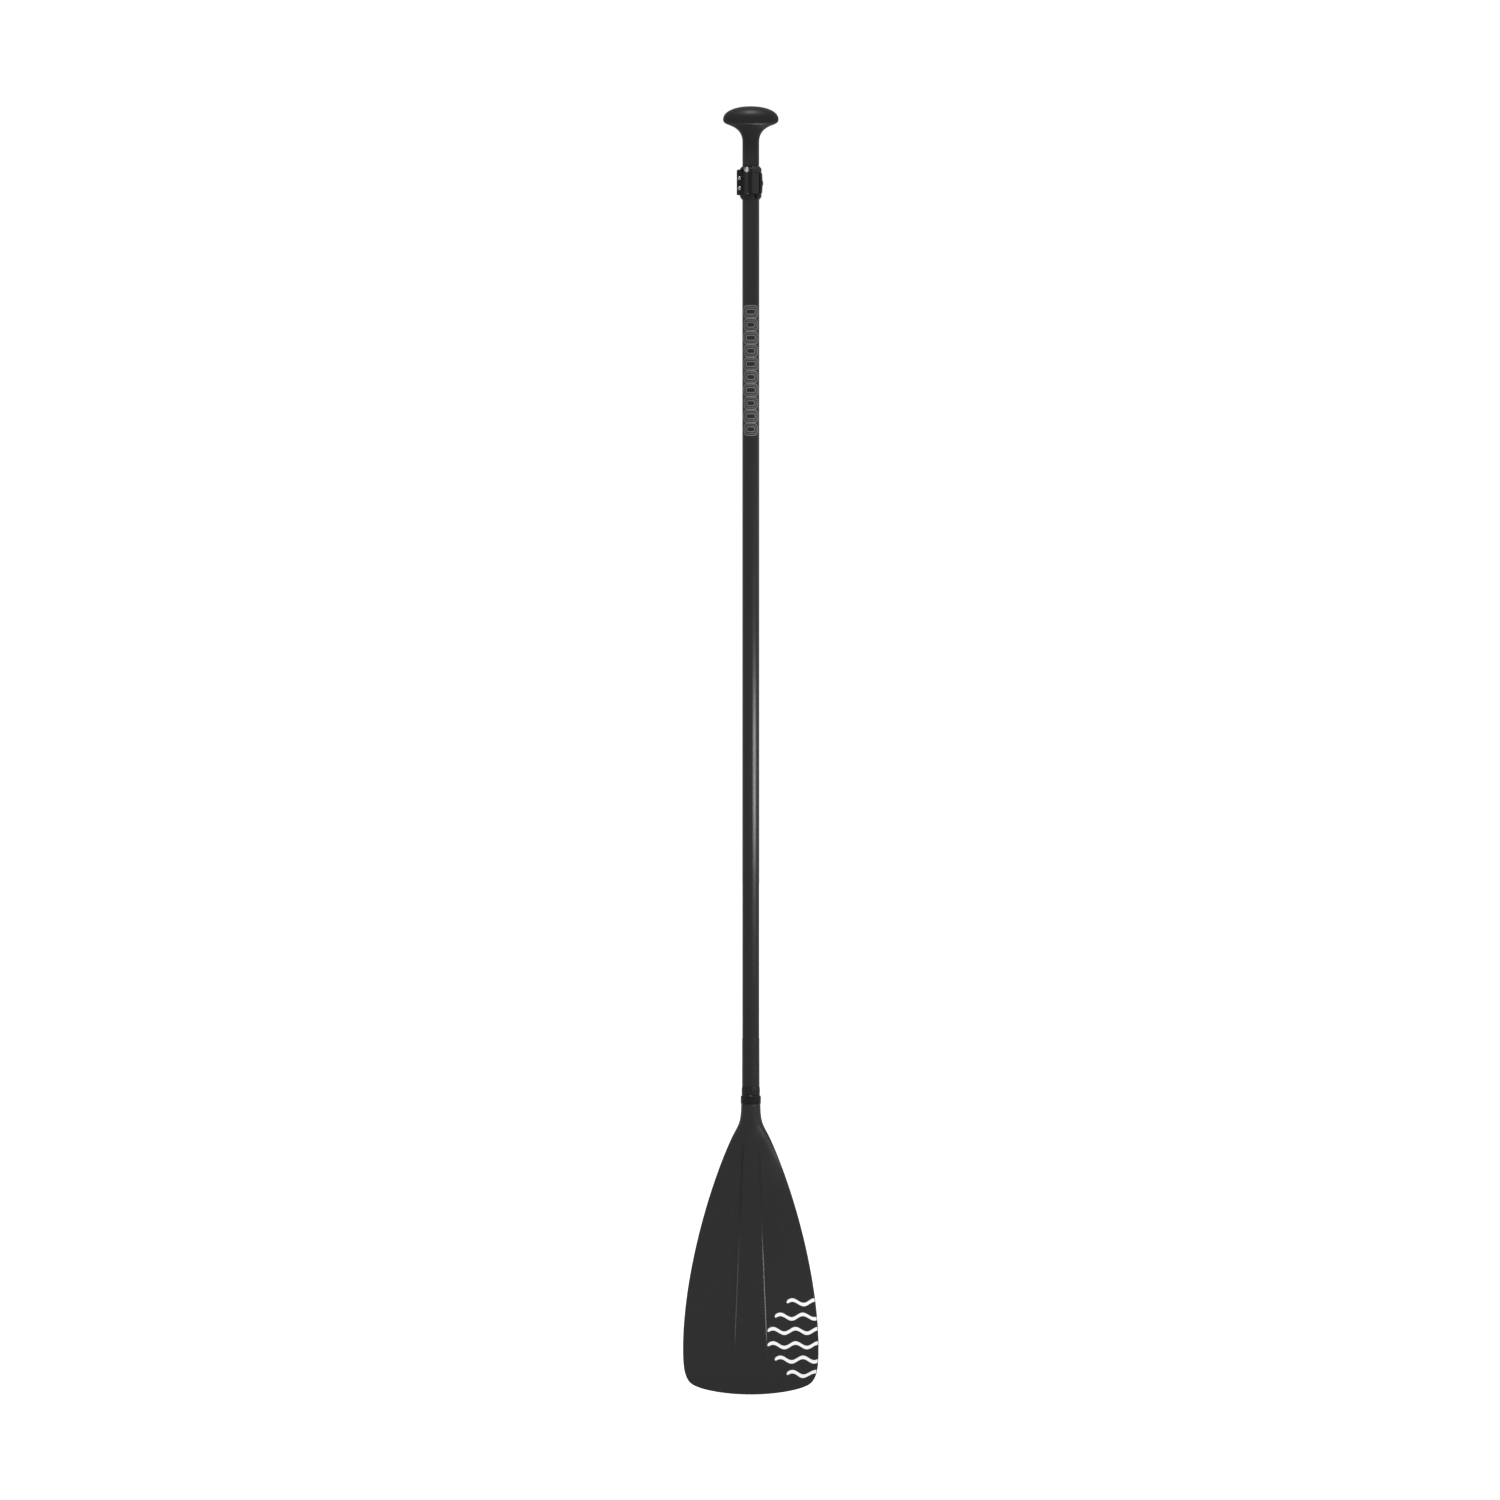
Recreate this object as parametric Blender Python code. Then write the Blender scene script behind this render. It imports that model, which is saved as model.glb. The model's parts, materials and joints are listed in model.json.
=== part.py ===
"""Adjustable single blade paddle: blade, telescopic shaft, cam clamp and palm grip.

Metres, +Z up the shaft, +X to the right of somebody facing the printed side of the blade, which
looks along -Y. The origin is on the shaft's axis, HOLD_HEIGHT above the tip of the blade.
"""

import math

import bmesh
import bpy
import numpy as np

MM = 0.001
GAP = 0.3 * MM  # between pieces that touch
SEGMENTS = 40  # sides of the larger round pieces
CLAMP_SEGMENTS = 64  # sides of the clamp's collar
FINE_SEGMENTS = 20  # sides of screws, rivets and the pivot pin

HOLD_HEIGHT = 950 * MM  # from the tip of the blade up to the hand hold at the origin

# Shaft tubes
SHAFT_R = 12.8 * MM
TUBE_WALL = 1.2 * MM
EXTENSION_R = 11.1 * MM
SHAFT_FOOT = 404 * MM
SHAFT_TOP = 1846.4 * MM
EXTENSION_FOOT = 1440 * MM
EXTENSION_TOP = 1905 * MM
SLOT_WIDTH = 2 * MM
SLOT_DEPTH = 42 * MM

# Clamp
CLAMP_FOOT = 1800.5 * MM
CLAMP_TOP = 1850.5 * MM
CLAMP_BORE_R = 13.1 * MM
RIM_R = 16.2 * MM
RECESS_R = 15.8 * MM
RIM_CHAMFER = 2.9 * MM
RIM_CHAMFER_HEIGHT = 4.0 * MM
LEVER_FOOT = 1810 * MM
LEVER_TOP = 1840 * MM
EAR_FOOT = 1806.7 * MM
EAR_TOP = 1846 * MM
EAR_REACH = 21.3 * MM
EAR_FRONT = -7.0 * MM
EAR_BACK = 7.5 * MM
SPLIT = 2 * MM
GROOVE_MIDDLE_X = -0.4 * MM
GROOVE_WIDTH = 4.0 * MM
GROOVE_DEPTH = 1.2 * MM
PANEL_R = 16.6 * MM
PANEL_START = math.radians(-85)
PANEL_END = math.radians(-42)
FLANK_X = -12.0 * MM  # where the collar ends in front of the ears
NOTCH_X = 3.9 * MM  # arched notch in the collar's foot
NOTCH_R = 4.4 * MM
NOTCH_TOP = 1808.8 * MM

# Cam lever: angles run anticlockwise from +X, seen from above
LEVER_INNER_R = 16.1 * MM
LEVER_OUTER_R = 17.7 * MM
LEVER_TIP = math.radians(-38)
LEVER_ROOT = math.radians(140)
PIVOT_X = -17.0 * MM
PIVOT_Y = 14.5 * MM
CAM_R = 4.9 * MM
CAM_OFFSET_X = 0.7 * MM
CAM_OFFSET_Y = -0.2 * MM
PIN_R = 2.4 * MM
RIDGE_R = 18.7 * MM
RIDGE_HEIGHT = 7 * MM

# Clamp screws: M3, one above the other
SCREW_HEIGHTS = {"upper": 1832.3 * MM, "lower": 1817.0 * MM}
SCREW_R = 1.5 * MM
SCREW_HEAD_R = 2.8 * MM
SCREW_HEAD_HEIGHT = 1.9 * MM
SCREW_END_Y = 15.9 * MM
WASHER_R = 3.3 * MM
WASHER_THICKNESS = 0.5 * MM

# Palm grip
GRIP_HALF_WIDTH = 41.9 * MM
GRIP_HALF_DEPTH = 22.0 * MM
GRIP_LIP_HEIGHT = 1921.2 * MM
GRIP_LIP_FOOT = 1913.6 * MM
GRIP_TAPER_DEPTH = 19.6 * MM
GRIP_TAPER_FOOT = 1887 * MM
GRIP_DOME_RISE = 20.0 * MM
GRIP_DOME_POWER = 2.15
STEM_R = 12.6 * MM
STEM_BORE_R = EXTENSION_R + 0.25 * MM
GRIP_RIVET_HEIGHT = 1872 * MM

# Blade
BLADE_TOP = 436.6 * MM
NECK_R = 14.7 * MM
SOCKET_FLOOR = 400 * MM
BLADE_CANT = math.radians(8)
BLADE_HALF_WIDTH = 102.2 * MM
CORNER_HALF_WIDTH = 86.5 * MM
CORNER_HEIGHT = 14.2 * MM
EDGE_HALF_THICKNESS = 1.3 * MM
SPINE_RISE = 1.6 * MM
SPINE_SLOPE = 1.5 * MM
BLADE_RIVET_HEIGHT = 424 * MM

# Rings over the joint of shaft and blade, each (foot, top, outer radius)
NECK_RING = (436.9 * MM, 449.8 * MM, 15.35 * MM)
NECK_SEAL = (450.1 * MM, 462.8 * MM, 13.95 * MM)
SHRINK_SLEEVE = (463.1 * MM, 536 * MM, 13.4 * MM)


def up(height):
    """World Z of a height above the tip of the blade."""
    return height - HOLD_HEIGHT


def smooth(value, start, end):
    """0 at start, 1 at end, and an S curve between."""
    t = min(max((value - start) / (end - start), 0.0), 1.0)
    return t * t * (3 - 2 * t)


def bezier(points, steps):
    """Points along a cubic curve, its first point left out."""
    a, b, c, d = (np.array(p) for p in points)
    curve = []
    for step in range(1, steps + 1):
        t = step / steps
        s = 1 - t
        curve.append(tuple(s**3 * a + 3 * s * s * t * b + 3 * s * t * t * c + t**3 * d))
    return curve


def finish(name, colour, roughness, metallic=0.0):
    material = bpy.data.materials.new(name)
    material.use_nodes = True
    shader = material.node_tree.nodes["Principled BSDF"]
    shader.inputs["Base Color"].default_value = (*colour, 1.0)
    shader.inputs["Roughness"].default_value = roughness
    shader.inputs["Metallic"].default_value = metallic
    return material


def solid(name, mesh_builder, material, smooth_angle=35):
    """An object from a bmesh, with its faces turned outwards."""
    bmesh.ops.recalc_face_normals(mesh_builder, faces=mesh_builder.faces)
    mesh = bpy.data.meshes.new(name)
    mesh_builder.to_mesh(mesh)
    mesh_builder.free()
    mesh.shade_smooth()
    mesh.set_sharp_from_angle(angle=math.radians(smooth_angle))
    obj = bpy.data.objects.new(name, mesh)
    bpy.context.collection.objects.link(obj)
    if material:
        mesh.materials.append(material)
    return obj


def skin(name, loops, material, closed=False):
    """One closed surface through loops of points. A loop of one point closes an end; a closed
    skin joins its last loop to its first."""
    builder = bmesh.new()
    rings = [[builder.verts.new(point) for point in loop] for loop in loops]
    pairs = list(zip(rings, rings[1:]))
    if closed:
        pairs.append((rings[-1], rings[0]))
    for low, high in pairs:
        count = max(len(low), len(high))
        for i in range(count):
            j = (i + 1) % count
            corners = [low[i % len(low)], low[j % len(low)], high[j % len(high)], high[i % len(high)]]
            builder.faces.new(list(dict.fromkeys(corners)))
    return solid(name, builder, material)


def ring(radius, z, segments, depth=None, centre=(0.0, 0.0)):
    """A level loop of points, oval when its half depth along Y is given. Radius 0 is one point."""
    if radius == 0:
        return [(centre[0], centre[1], z)]
    loop = []
    for i in range(segments):
        angle = 2 * math.pi * i / segments
        y = (depth if depth is not None else radius) * math.sin(angle)
        loop.append((centre[0] + radius * math.cos(angle), centre[1] + y, z))
    return loop


def turned(name, section, material, segments=SEGMENTS, centre=(0.0, 0.0)):
    """A piece of revolution about a vertical axis. The section lists (radius, height): from axis
    to axis for a solid piece, or right round a hollow one."""
    loops = [ring(radius, up(height), segments, centre=centre) for radius, height in section]
    return skin(name, loops, material, closed=section[0][0] > 0)


def turned_along_y(name, section, height, x, material=None, segments=FINE_SEGMENTS):
    """A piece of revolution about a line along Y. The section lists (radius, y)."""
    loops = []
    for radius, y in section:
        flat = ring(radius, 0.0, segments)
        loops.append([(x + px, y, up(height) + pz) for px, pz, _ in flat])
    return skin(name, loops, material, closed=section[0][0] > 0)


def tube(name, outer_r, wall, foot, top, material):
    inner_r = outer_r - wall
    section = [(outer_r, foot), (outer_r, top), (inner_r, top), (inner_r, foot)]
    return turned(name, section, material)


def box(name, low, high, material=None):
    builder = bmesh.new()
    bmesh.ops.create_cube(builder, size=1.0)
    for vertex in builder.verts:
        for axis in range(3):
            vertex.co[axis] = high[axis] if vertex.co[axis] > 0 else low[axis]
    return solid(name, builder, material)


def arc_wall(name, inner_r, outer_r, start, end, foot, top, steps, material=None):
    """A stretch of upright wall round the shaft's axis."""
    angles = [start + (end - start) * i / steps for i in range(steps + 1)]
    loops = []
    for angle in angles:
        corners = [(inner_r, foot), (outer_r, foot), (outer_r, top), (inner_r, top)]
        loops.append([(r * math.cos(angle), r * math.sin(angle), up(h)) for r, h in corners])
    builder = bmesh.new()
    rings = [[builder.verts.new(point) for point in loop] for loop in loops]
    for low, high in zip(rings, rings[1:]):
        for i in range(4):
            j = (i + 1) % 4
            builder.faces.new((low[i], low[j], high[j], high[i]))
    builder.faces.new(rings[0])
    builder.faces.new(rings[-1])
    return solid(name, builder, material)


def combine(obj, other, operation):
    """Adds or cuts a shape that isn't a piece of its own and that moves with the piece."""
    other.parent = obj
    other.hide_render = True
    other.display_type = "WIRE"
    modifier = obj.modifiers.new(f"{operation.lower()} {other.name}", "BOOLEAN")
    modifier.operation = operation
    modifier.solver = "EXACT"
    modifier.object = other


def cut(obj, other):
    combine(obj, other, "DIFFERENCE")


def join(obj, other):
    combine(obj, other, "UNION")


# --- shaft --------------------------------------------------------------------------------------


def rivet(name, height, surface_y, shank_end_y, material):
    """A blind rivet in the back of a tube, its domed head outside."""
    head_r = 3.2 * MM
    shank_r = 1.6 * MM
    seat = surface_y + GAP
    section = [
        (0.0, shank_end_y),
        (shank_r, shank_end_y),
        (shank_r, seat),
        (head_r, seat),
        (0.85 * head_r, seat + 0.7 * MM),
        (0.45 * head_r, seat + 1.1 * MM),
        (0.0, seat + 1.2 * MM),
    ]
    return turned_along_y(name, section, height, 0.0, material)


def rivet_hole(name, height, end_y):
    hole_r = 1.9 * MM
    section = [(0.0, 5 * MM), (hole_r, 5 * MM), (hole_r, end_y), (0.0, end_y)]
    return turned_along_y(name, section, height, 0.0)


def main_shaft(material):
    shaft = tube("main_shaft", SHAFT_R, TUBE_WALL, SHAFT_FOOT, SHAFT_TOP, material)
    low = (-20 * MM, -SLOT_WIDTH / 2, up(SHAFT_TOP - SLOT_DEPTH))
    high = (-5 * MM, SLOT_WIDTH / 2, up(SHAFT_TOP + 5 * MM))
    cut(shaft, box("shaft_slot_cutter", low, high))
    cut(shaft, rivet_hole("shaft_rivet_cutter", BLADE_RIVET_HEIGHT, 20 * MM))
    return shaft


def extension_tube(material):
    foot = EXTENSION_FOOT
    extension = tube("extension_tube", EXTENSION_R, TUBE_WALL, foot, EXTENSION_TOP, material)
    cut(extension, rivet_hole("extension_rivet_cutter", GRIP_RIVET_HEIGHT, 20 * MM))
    return extension


def guide_bush(material):
    """Flanged bush under the extension tube: it slides in the shaft and the tube turns on it."""
    spigot_r = EXTENSION_R - TUBE_WALL - GAP
    flange_r = SHAFT_R - TUBE_WALL - GAP
    foot = EXTENSION_FOOT - 9 * MM
    seat = EXTENSION_FOOT - GAP
    section = [
        (0.0, foot),
        (flange_r - 1 * MM, foot),
        (flange_r, foot + 1 * MM),
        (flange_r, seat),
        (spigot_r, seat),
        (spigot_r, EXTENSION_FOOT + 17 * MM),
        (spigot_r - 1 * MM, EXTENSION_FOOT + 18 * MM),
        (0.0, EXTENSION_FOOT + 18 * MM),
    ]
    return turned("guide_bush", section, material, segments=36)


def shaft_plug(name, foot, top, material):
    radius = SHAFT_R - TUBE_WALL - GAP
    chamfer = 1 * MM
    section = [
        (0.0, foot),
        (radius - chamfer, foot),
        (radius, foot + chamfer),
        (radius, top - chamfer),
        (radius - chamfer, top),
        (0.0, top),
    ]
    return turned(name, section, material, segments=36)


def collar_over_shaft(name, extent, chamfer, material, bore_gap=GAP):
    """A ring round the shaft, its upper outer edge chamfered."""
    foot, top, radius = extent
    bore = SHAFT_R + bore_gap
    section = [(bore, foot), (radius, foot), (radius, top - chamfer), (radius - chamfer, top), (bore, top)]
    return turned(name, section, material)


# --- clamp --------------------------------------------------------------------------------------


def clamp_collar(material):
    """Split collar: chamfered rims, ears for the screws, a recess for the lever, a lip over the
    end of the shaft, and a raised panel beside a groove and over a notch on its front."""
    lip_r = EXTENSION_R + GAP
    lip_foot = SHAFT_TOP + GAP
    chamfer_foot = CLAMP_FOOT + RIM_CHAMFER_HEIGHT
    chamfer_top = CLAMP_TOP - RIM_CHAMFER_HEIGHT
    section = [
        (CLAMP_BORE_R, CLAMP_FOOT),
        (RIM_R - RIM_CHAMFER, CLAMP_FOOT),
        (RIM_R, chamfer_foot),
        (RIM_R, chamfer_top),
        (RIM_R - RIM_CHAMFER, CLAMP_TOP),
        (lip_r, CLAMP_TOP),
        (lip_r, lip_foot),
        (CLAMP_BORE_R, lip_foot),
    ]
    collar = turned("clamp_collar", section, material, CLAMP_SEGMENTS)
    recess_start = LEVER_TIP - math.radians(2)
    recess_end = math.radians(144)
    foot = LEVER_FOOT - GAP
    top = LEVER_TOP + GAP
    steps = 30
    cut(collar, arc_wall("recess_cutter", RECESS_R, 20 * MM, recess_start, recess_end, foot, top, steps))
    low = (-20 * MM, -20 * MM, up(CLAMP_FOOT - 5 * MM))
    high = (FLANK_X, EAR_FRONT + 0.2 * MM, up(CLAMP_TOP + 5 * MM))
    cut(collar, box("flank_cutter", low, high))
    ear = box(
        "ear_block",
        (-EAR_REACH, EAR_FRONT, up(EAR_FOOT)),
        (FLANK_X + 0.5 * MM, EAR_BACK, up(EAR_TOP)),
    )
    bevel = ear.modifiers.new("rounded ear corners", "BEVEL")
    bevel.width = 1.6 * MM
    bevel.segments = 2
    bevel.limit_method = "ANGLE"
    join(collar, ear)
    bore_section = [(0.0, SHAFT_FOOT), (CLAMP_BORE_R, SHAFT_FOOT), (CLAMP_BORE_R, lip_foot), (0.0, lip_foot)]
    cut(collar, turned("ear_bore_cutter", bore_section, None, CLAMP_SEGMENTS))
    panel_inner_r = RIM_R - 0.6 * MM
    foot = LEVER_FOOT
    top = LEVER_TOP
    join(collar, arc_wall("front_panel", panel_inner_r, PANEL_R, PANEL_START, PANEL_END, foot, top, 9))
    groove_floor = -(RIM_R - GROOVE_DEPTH)
    half = GROOVE_WIDTH / 2
    low = (GROOVE_MIDDLE_X - half, -20 * MM, up(CLAMP_FOOT + 4.5 * MM))
    high = (GROOVE_MIDDLE_X + half, groove_floor, up(CLAMP_TOP - 2.5 * MM))
    cut(collar, box("groove_cutter", low, high))
    arch = [(0.0, -20 * MM), (NOTCH_R, -20 * MM), (NOTCH_R, -8 * MM), (0.0, -8 * MM)]
    cut(collar, turned_along_y("notch_arch_cutter", arch, NOTCH_TOP - NOTCH_R, NOTCH_X))
    low = (NOTCH_X - NOTCH_R, -20 * MM, up(CLAMP_FOOT - 5 * MM))
    high = (NOTCH_X + NOTCH_R, -8 * MM, up(NOTCH_TOP - NOTCH_R))
    cut(collar, box("notch_cutter", low, high))
    low = (-30 * MM, -SPLIT / 2, up(CLAMP_FOOT - 5 * MM))
    high = (-8 * MM, SPLIT / 2, up(CLAMP_TOP + 5 * MM))
    cut(collar, box("split_cutter", low, high))
    for name, height in SCREW_HEIGHTS.items():
        hole_r = SCREW_R + GAP
        section = [(0.0, -20 * MM), (hole_r, -20 * MM), (hole_r, 20 * MM), (0.0, 20 * MM)]
        cut(collar, turned_along_y(f"{name}_ear_hole_cutter", section, height, PIVOT_X))
    return collar


def cam_plate(material):
    """Wear plate between the back ear and the cams."""
    thickness = 1.2 * MM
    front = EAR_BACK + GAP
    low = (-20.8 * MM, front, up(LEVER_FOOT + 0.5 * MM))
    high = (-14.6 * MM, front + thickness, up(LEVER_TOP - 0.5 * MM))
    plate = box("cam_plate", low, high, material)
    for name, height in SCREW_HEIGHTS.items():
        hole_r = SCREW_R + GAP
        section = [(0.0, 5 * MM), (hole_r, 5 * MM), (hole_r, 12 * MM), (0.0, 12 * MM)]
        cut(plate, turned_along_y(f"{name}_plate_hole_cutter", section, height, PIVOT_X))
    return plate


def lever_pivot_pin(material):
    """Barrel nut that the screws thread into and the lever turns on."""
    chamfer = 0.4 * MM
    foot = LEVER_FOOT + 0.2 * MM
    top = LEVER_TOP - 0.2 * MM
    section = [
        (0.0, foot),
        (PIN_R - chamfer, foot),
        (PIN_R, foot + chamfer),
        (PIN_R, top - chamfer),
        (PIN_R - chamfer, top),
        (0.0, top),
    ]
    pin = turned("lever_pivot_pin", section, material, FINE_SEGMENTS, (PIVOT_X, PIVOT_Y))
    for name, height in SCREW_HEIGHTS.items():
        thread_r = SCREW_R + 0.15 * MM
        section = [(0.0, 5 * MM), (thread_r, 5 * MM), (thread_r, 25 * MM), (0.0, 25 * MM)]
        cut(pin, turned_along_y(f"{name}_pin_hole_cutter", section, height, PIVOT_X))
    return pin


def clamp_screw(name, height, material):
    seat = EAR_FRONT - GAP - WASHER_THICKNESS - GAP
    front = seat - SCREW_HEAD_HEIGHT
    section = [
        (0.0, front),
        (0.7 * SCREW_HEAD_R, front + 0.15 * MM),
        (SCREW_HEAD_R, front + 0.8 * MM),
        (SCREW_HEAD_R, seat),
        (SCREW_R, seat),
        (SCREW_R, SCREW_END_Y - 0.5 * MM),
        (SCREW_R - 0.5 * MM, SCREW_END_Y),
        (0.0, SCREW_END_Y),
    ]
    screw = turned_along_y(f"clamp_screw_{name}", section, height, PIVOT_X, material)
    arm = 1.7 * MM
    width = 0.35 * MM
    for label, half_x, half_z in (("level", arm, width), ("upright", width, arm)):
        low = (PIVOT_X - half_x, front - 1 * MM, up(height) - half_z)
        high = (PIVOT_X + half_x, front + 0.9 * MM, up(height) + half_z)
        cut(screw, box(f"{name}_{label}_recess_cutter", low, high))
    return screw


def screw_washer(name, height, material):
    back = EAR_FRONT - GAP
    front = back - WASHER_THICKNESS
    bore = SCREW_R + 0.2 * MM
    section = [(bore, front), (WASHER_R, front), (WASHER_R, back), (bore, back)]
    return turned_along_y(f"screw_washer_{name}", section, height, PIVOT_X, material)


def clamp_lever(material):
    """Curved lever lying round the back and right of the collar, with three cam knuckles. Its
    origin is on the pivot's axis."""
    outer_r = LEVER_OUTER_R
    foot = LEVER_FOOT
    top = LEVER_TOP
    lever = arc_wall("clamp_lever", LEVER_INNER_R, outer_r, LEVER_TIP, LEVER_ROOT, foot, top, 36, material)
    edge = lever.modifiers.new("rounded edges", "BEVEL")
    edge.width = 0.5 * MM
    edge.segments = 2
    edge.limit_method = "ANGLE"
    edge.angle_limit = math.radians(50)
    cam_section = [(0.0, foot), (CAM_R, foot), (CAM_R, top), (0.0, top)]
    cam_centre = (PIVOT_X + CAM_OFFSET_X, PIVOT_Y + CAM_OFFSET_Y)
    join(lever, turned("cam_blank", cam_section, None, 32, cam_centre))
    low = (PIVOT_X + CAM_OFFSET_X, 10.9 * MM, up(foot + 0.01 * MM))
    high = (-12.0 * MM, PIVOT_Y, up(top - 0.01 * MM))
    join(lever, box("lever_root_web", low, high))
    middle = (LEVER_FOOT + LEVER_TOP) / 2
    foot = middle - RIDGE_HEIGHT / 2
    top = middle + RIDGE_HEIGHT / 2
    start = math.radians(-14)
    end = math.radians(4)
    join(lever, arc_wall("thumb_ridge", LEVER_OUTER_R - 0.8 * MM, RIDGE_R, start, end, foot, top, 4))
    bore_r = PIN_R + GAP
    foot = LEVER_FOOT - 5 * MM
    top = LEVER_TOP + 5 * MM
    bore_section = [(0.0, foot), (bore_r, foot), (bore_r, top), (0.0, top)]
    cut(lever, turned("lever_bore_cutter", bore_section, None, 24, (PIVOT_X, PIVOT_Y)))
    for name, height in SCREW_HEIGHTS.items():
        foot = height - 2.4 * MM
        top = height + 2.4 * MM
        reach = 5.9 * MM
        section = [(0.0, foot), (reach, foot), (reach, top), (0.0, top)]
        cut(lever, turned(f"{name}_knuckle_gap_cutter", section, None, 32, (PIVOT_X, PIVOT_Y)))
    return lever


# --- palm grip ----------------------------------------------------------------------------------


def grip_depth(height):
    """Half depth of the grip under its lip: a rounded lip, then a long taper into the round stem."""
    lip_drop = GRIP_LIP_HEIGHT - GRIP_LIP_FOOT
    round_lip = math.sqrt(max(0.0, 1 - ((GRIP_LIP_HEIGHT - height) / lip_drop) ** 2))
    taper = max(0.0, min(1.0, (height - GRIP_TAPER_FOOT) / (GRIP_LIP_FOOT - GRIP_TAPER_FOOT)))
    depth = STEM_R + (GRIP_TAPER_DEPTH - STEM_R) * taper**1.4
    return depth + (GRIP_HALF_DEPTH - GRIP_TAPER_DEPTH) * round_lip


def palm_grip(material):
    """Mushroom grip with a stem that is bored for the extension tube."""
    loops = [[(0.0, 0.0, up(GRIP_LIP_HEIGHT + GRIP_DOME_RISE))]]
    dome_steps = 9
    depth_ratio = GRIP_HALF_DEPTH / GRIP_HALF_WIDTH
    for step in range(1, dome_steps + 1):
        angle = math.pi / 2 * (1 - step / dome_steps)
        radius = GRIP_HALF_WIDTH * math.cos(angle) ** (2 / GRIP_DOME_POWER)
        height = GRIP_LIP_HEIGHT + GRIP_DOME_RISE * math.sin(angle) ** (2 / GRIP_DOME_POWER)
        loops.append(ring(radius, up(height), SEGMENTS, radius * depth_ratio))
    shoulder = (31.2 * MM, 1912.1 * MM)
    lip = (
        (GRIP_HALF_WIDTH, GRIP_LIP_HEIGHT),
        (GRIP_HALF_WIDTH, 1915.3 * MM),
        (36.0 * MM, 1914.1 * MM),
        shoulder,
    )
    flare = (shoulder, (25.0 * MM, 1909.5 * MM), (STEM_R, 1904.4 * MM), (STEM_R, 1887 * MM))
    for radius, height in bezier(lip, 5) + bezier(flare, 8):
        loops.append(ring(radius, up(height), SEGMENTS, grip_depth(height)))
    stem_foot = CLAMP_TOP + GAP
    bore_top = EXTENSION_TOP + GAP
    loops.append(ring(STEM_R, up(stem_foot), SEGMENTS))
    loops.append(ring(STEM_BORE_R, up(stem_foot), SEGMENTS))
    loops.append(ring(STEM_BORE_R, up(bore_top), SEGMENTS))
    loops.append([(0.0, 0.0, up(bore_top))])
    grip = skin("palm_grip", loops, material)
    cut(grip, rivet_hole("grip_rivet_cutter", GRIP_RIVET_HEIGHT, 20 * MM))
    return grip


# --- blade --------------------------------------------------------------------------------------


def blade_side():
    """(half width, height) up the right edge, from the bottom corner to the neck."""
    corner = (
        (CORNER_HALF_WIDTH, CORNER_HEIGHT),
        (100.2 * MM, 21.9 * MM),
        (BLADE_HALF_WIDTH, 40 * MM),
        (BLADE_HALF_WIDTH, 70 * MM),
    )
    shoulder = (29.8 * MM, 383.9 * MM)
    side = (
        (BLADE_HALF_WIDTH, 70 * MM),
        (BLADE_HALF_WIDTH, 169.2 * MM),
        (68.1 * MM, 299.4 * MM),
        shoulder,
    )
    flare = (shoulder, (20.5 * MM, 404.4 * MM), (NECK_R, 404.6 * MM), (NECK_R, BLADE_TOP))
    start = (CORNER_HALF_WIDTH, CORNER_HEIGHT)
    return [start] + bezier(corner, 6) + bezier(side, 14) + bezier(flare, 9)


def bottom_rise(u):
    """Height of the bottom edge at a share u of the half width between the corners."""
    return CORNER_HEIGHT * (0.8 * u**2 + 0.2 * u**8)


def spine_half_width(height):
    return 24 * MM - 14 * MM * (height - 55 * MM) / (330 * MM)


def spine_rise(height):
    return SPINE_RISE * smooth(height, 45 * MM, 120 * MM) * (1 - smooth(height, 375 * MM, 400 * MM))


def blade_half_thickness(x, half_width, height):
    """A plate thinning to its edge, which swells into the round neck."""
    above_corner = np.array((0, 25, 135, 265, 335)) * MM
    core = np.array((1.3, 2.5, 4.0, 6.0, 9.0)) * MM
    root = float(np.interp(height - CORNER_HEIGHT, above_corner, core))
    u = min(abs(x) / half_width, 1.0)
    plate = EDGE_HALF_THICKNESS + (root - EDGE_HALF_THICKNESS) * (1 - u**1.6)
    neck = NECK_R * math.sqrt(1 - u * u)
    share = smooth(height, 335 * MM, 398 * MM)
    half_thickness = share * neck + (1 - share) * plate
    return max(half_thickness, EDGE_HALF_THICKNESS)


def blade_middle_y(height):
    """The blade leans forwards below its socket."""
    drop = max(0.0, SOCKET_FLOOR - height)
    bend = 40 * MM
    if drop < bend:
        return -math.tan(BLADE_CANT) * drop * drop / (2 * bend)
    return -math.tan(BLADE_CANT) * (drop - bend / 2)


def blade_columns(half_width, height):
    """Distances from the middle line, with columns along the top and foot of the spine's side."""
    spine = spine_half_width(height)
    inner = [0.0, spine / 2, spine]
    outer_steps = 7
    start = spine + SPINE_SLOPE
    outer = []
    for step in range(outer_steps + 1):
        share = math.sin(math.pi / 2 * step / outer_steps)
        outer.append(start + (half_width - start) * share)
    right = inner + outer
    return [-x for x in reversed(right[1:])] + right


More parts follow.
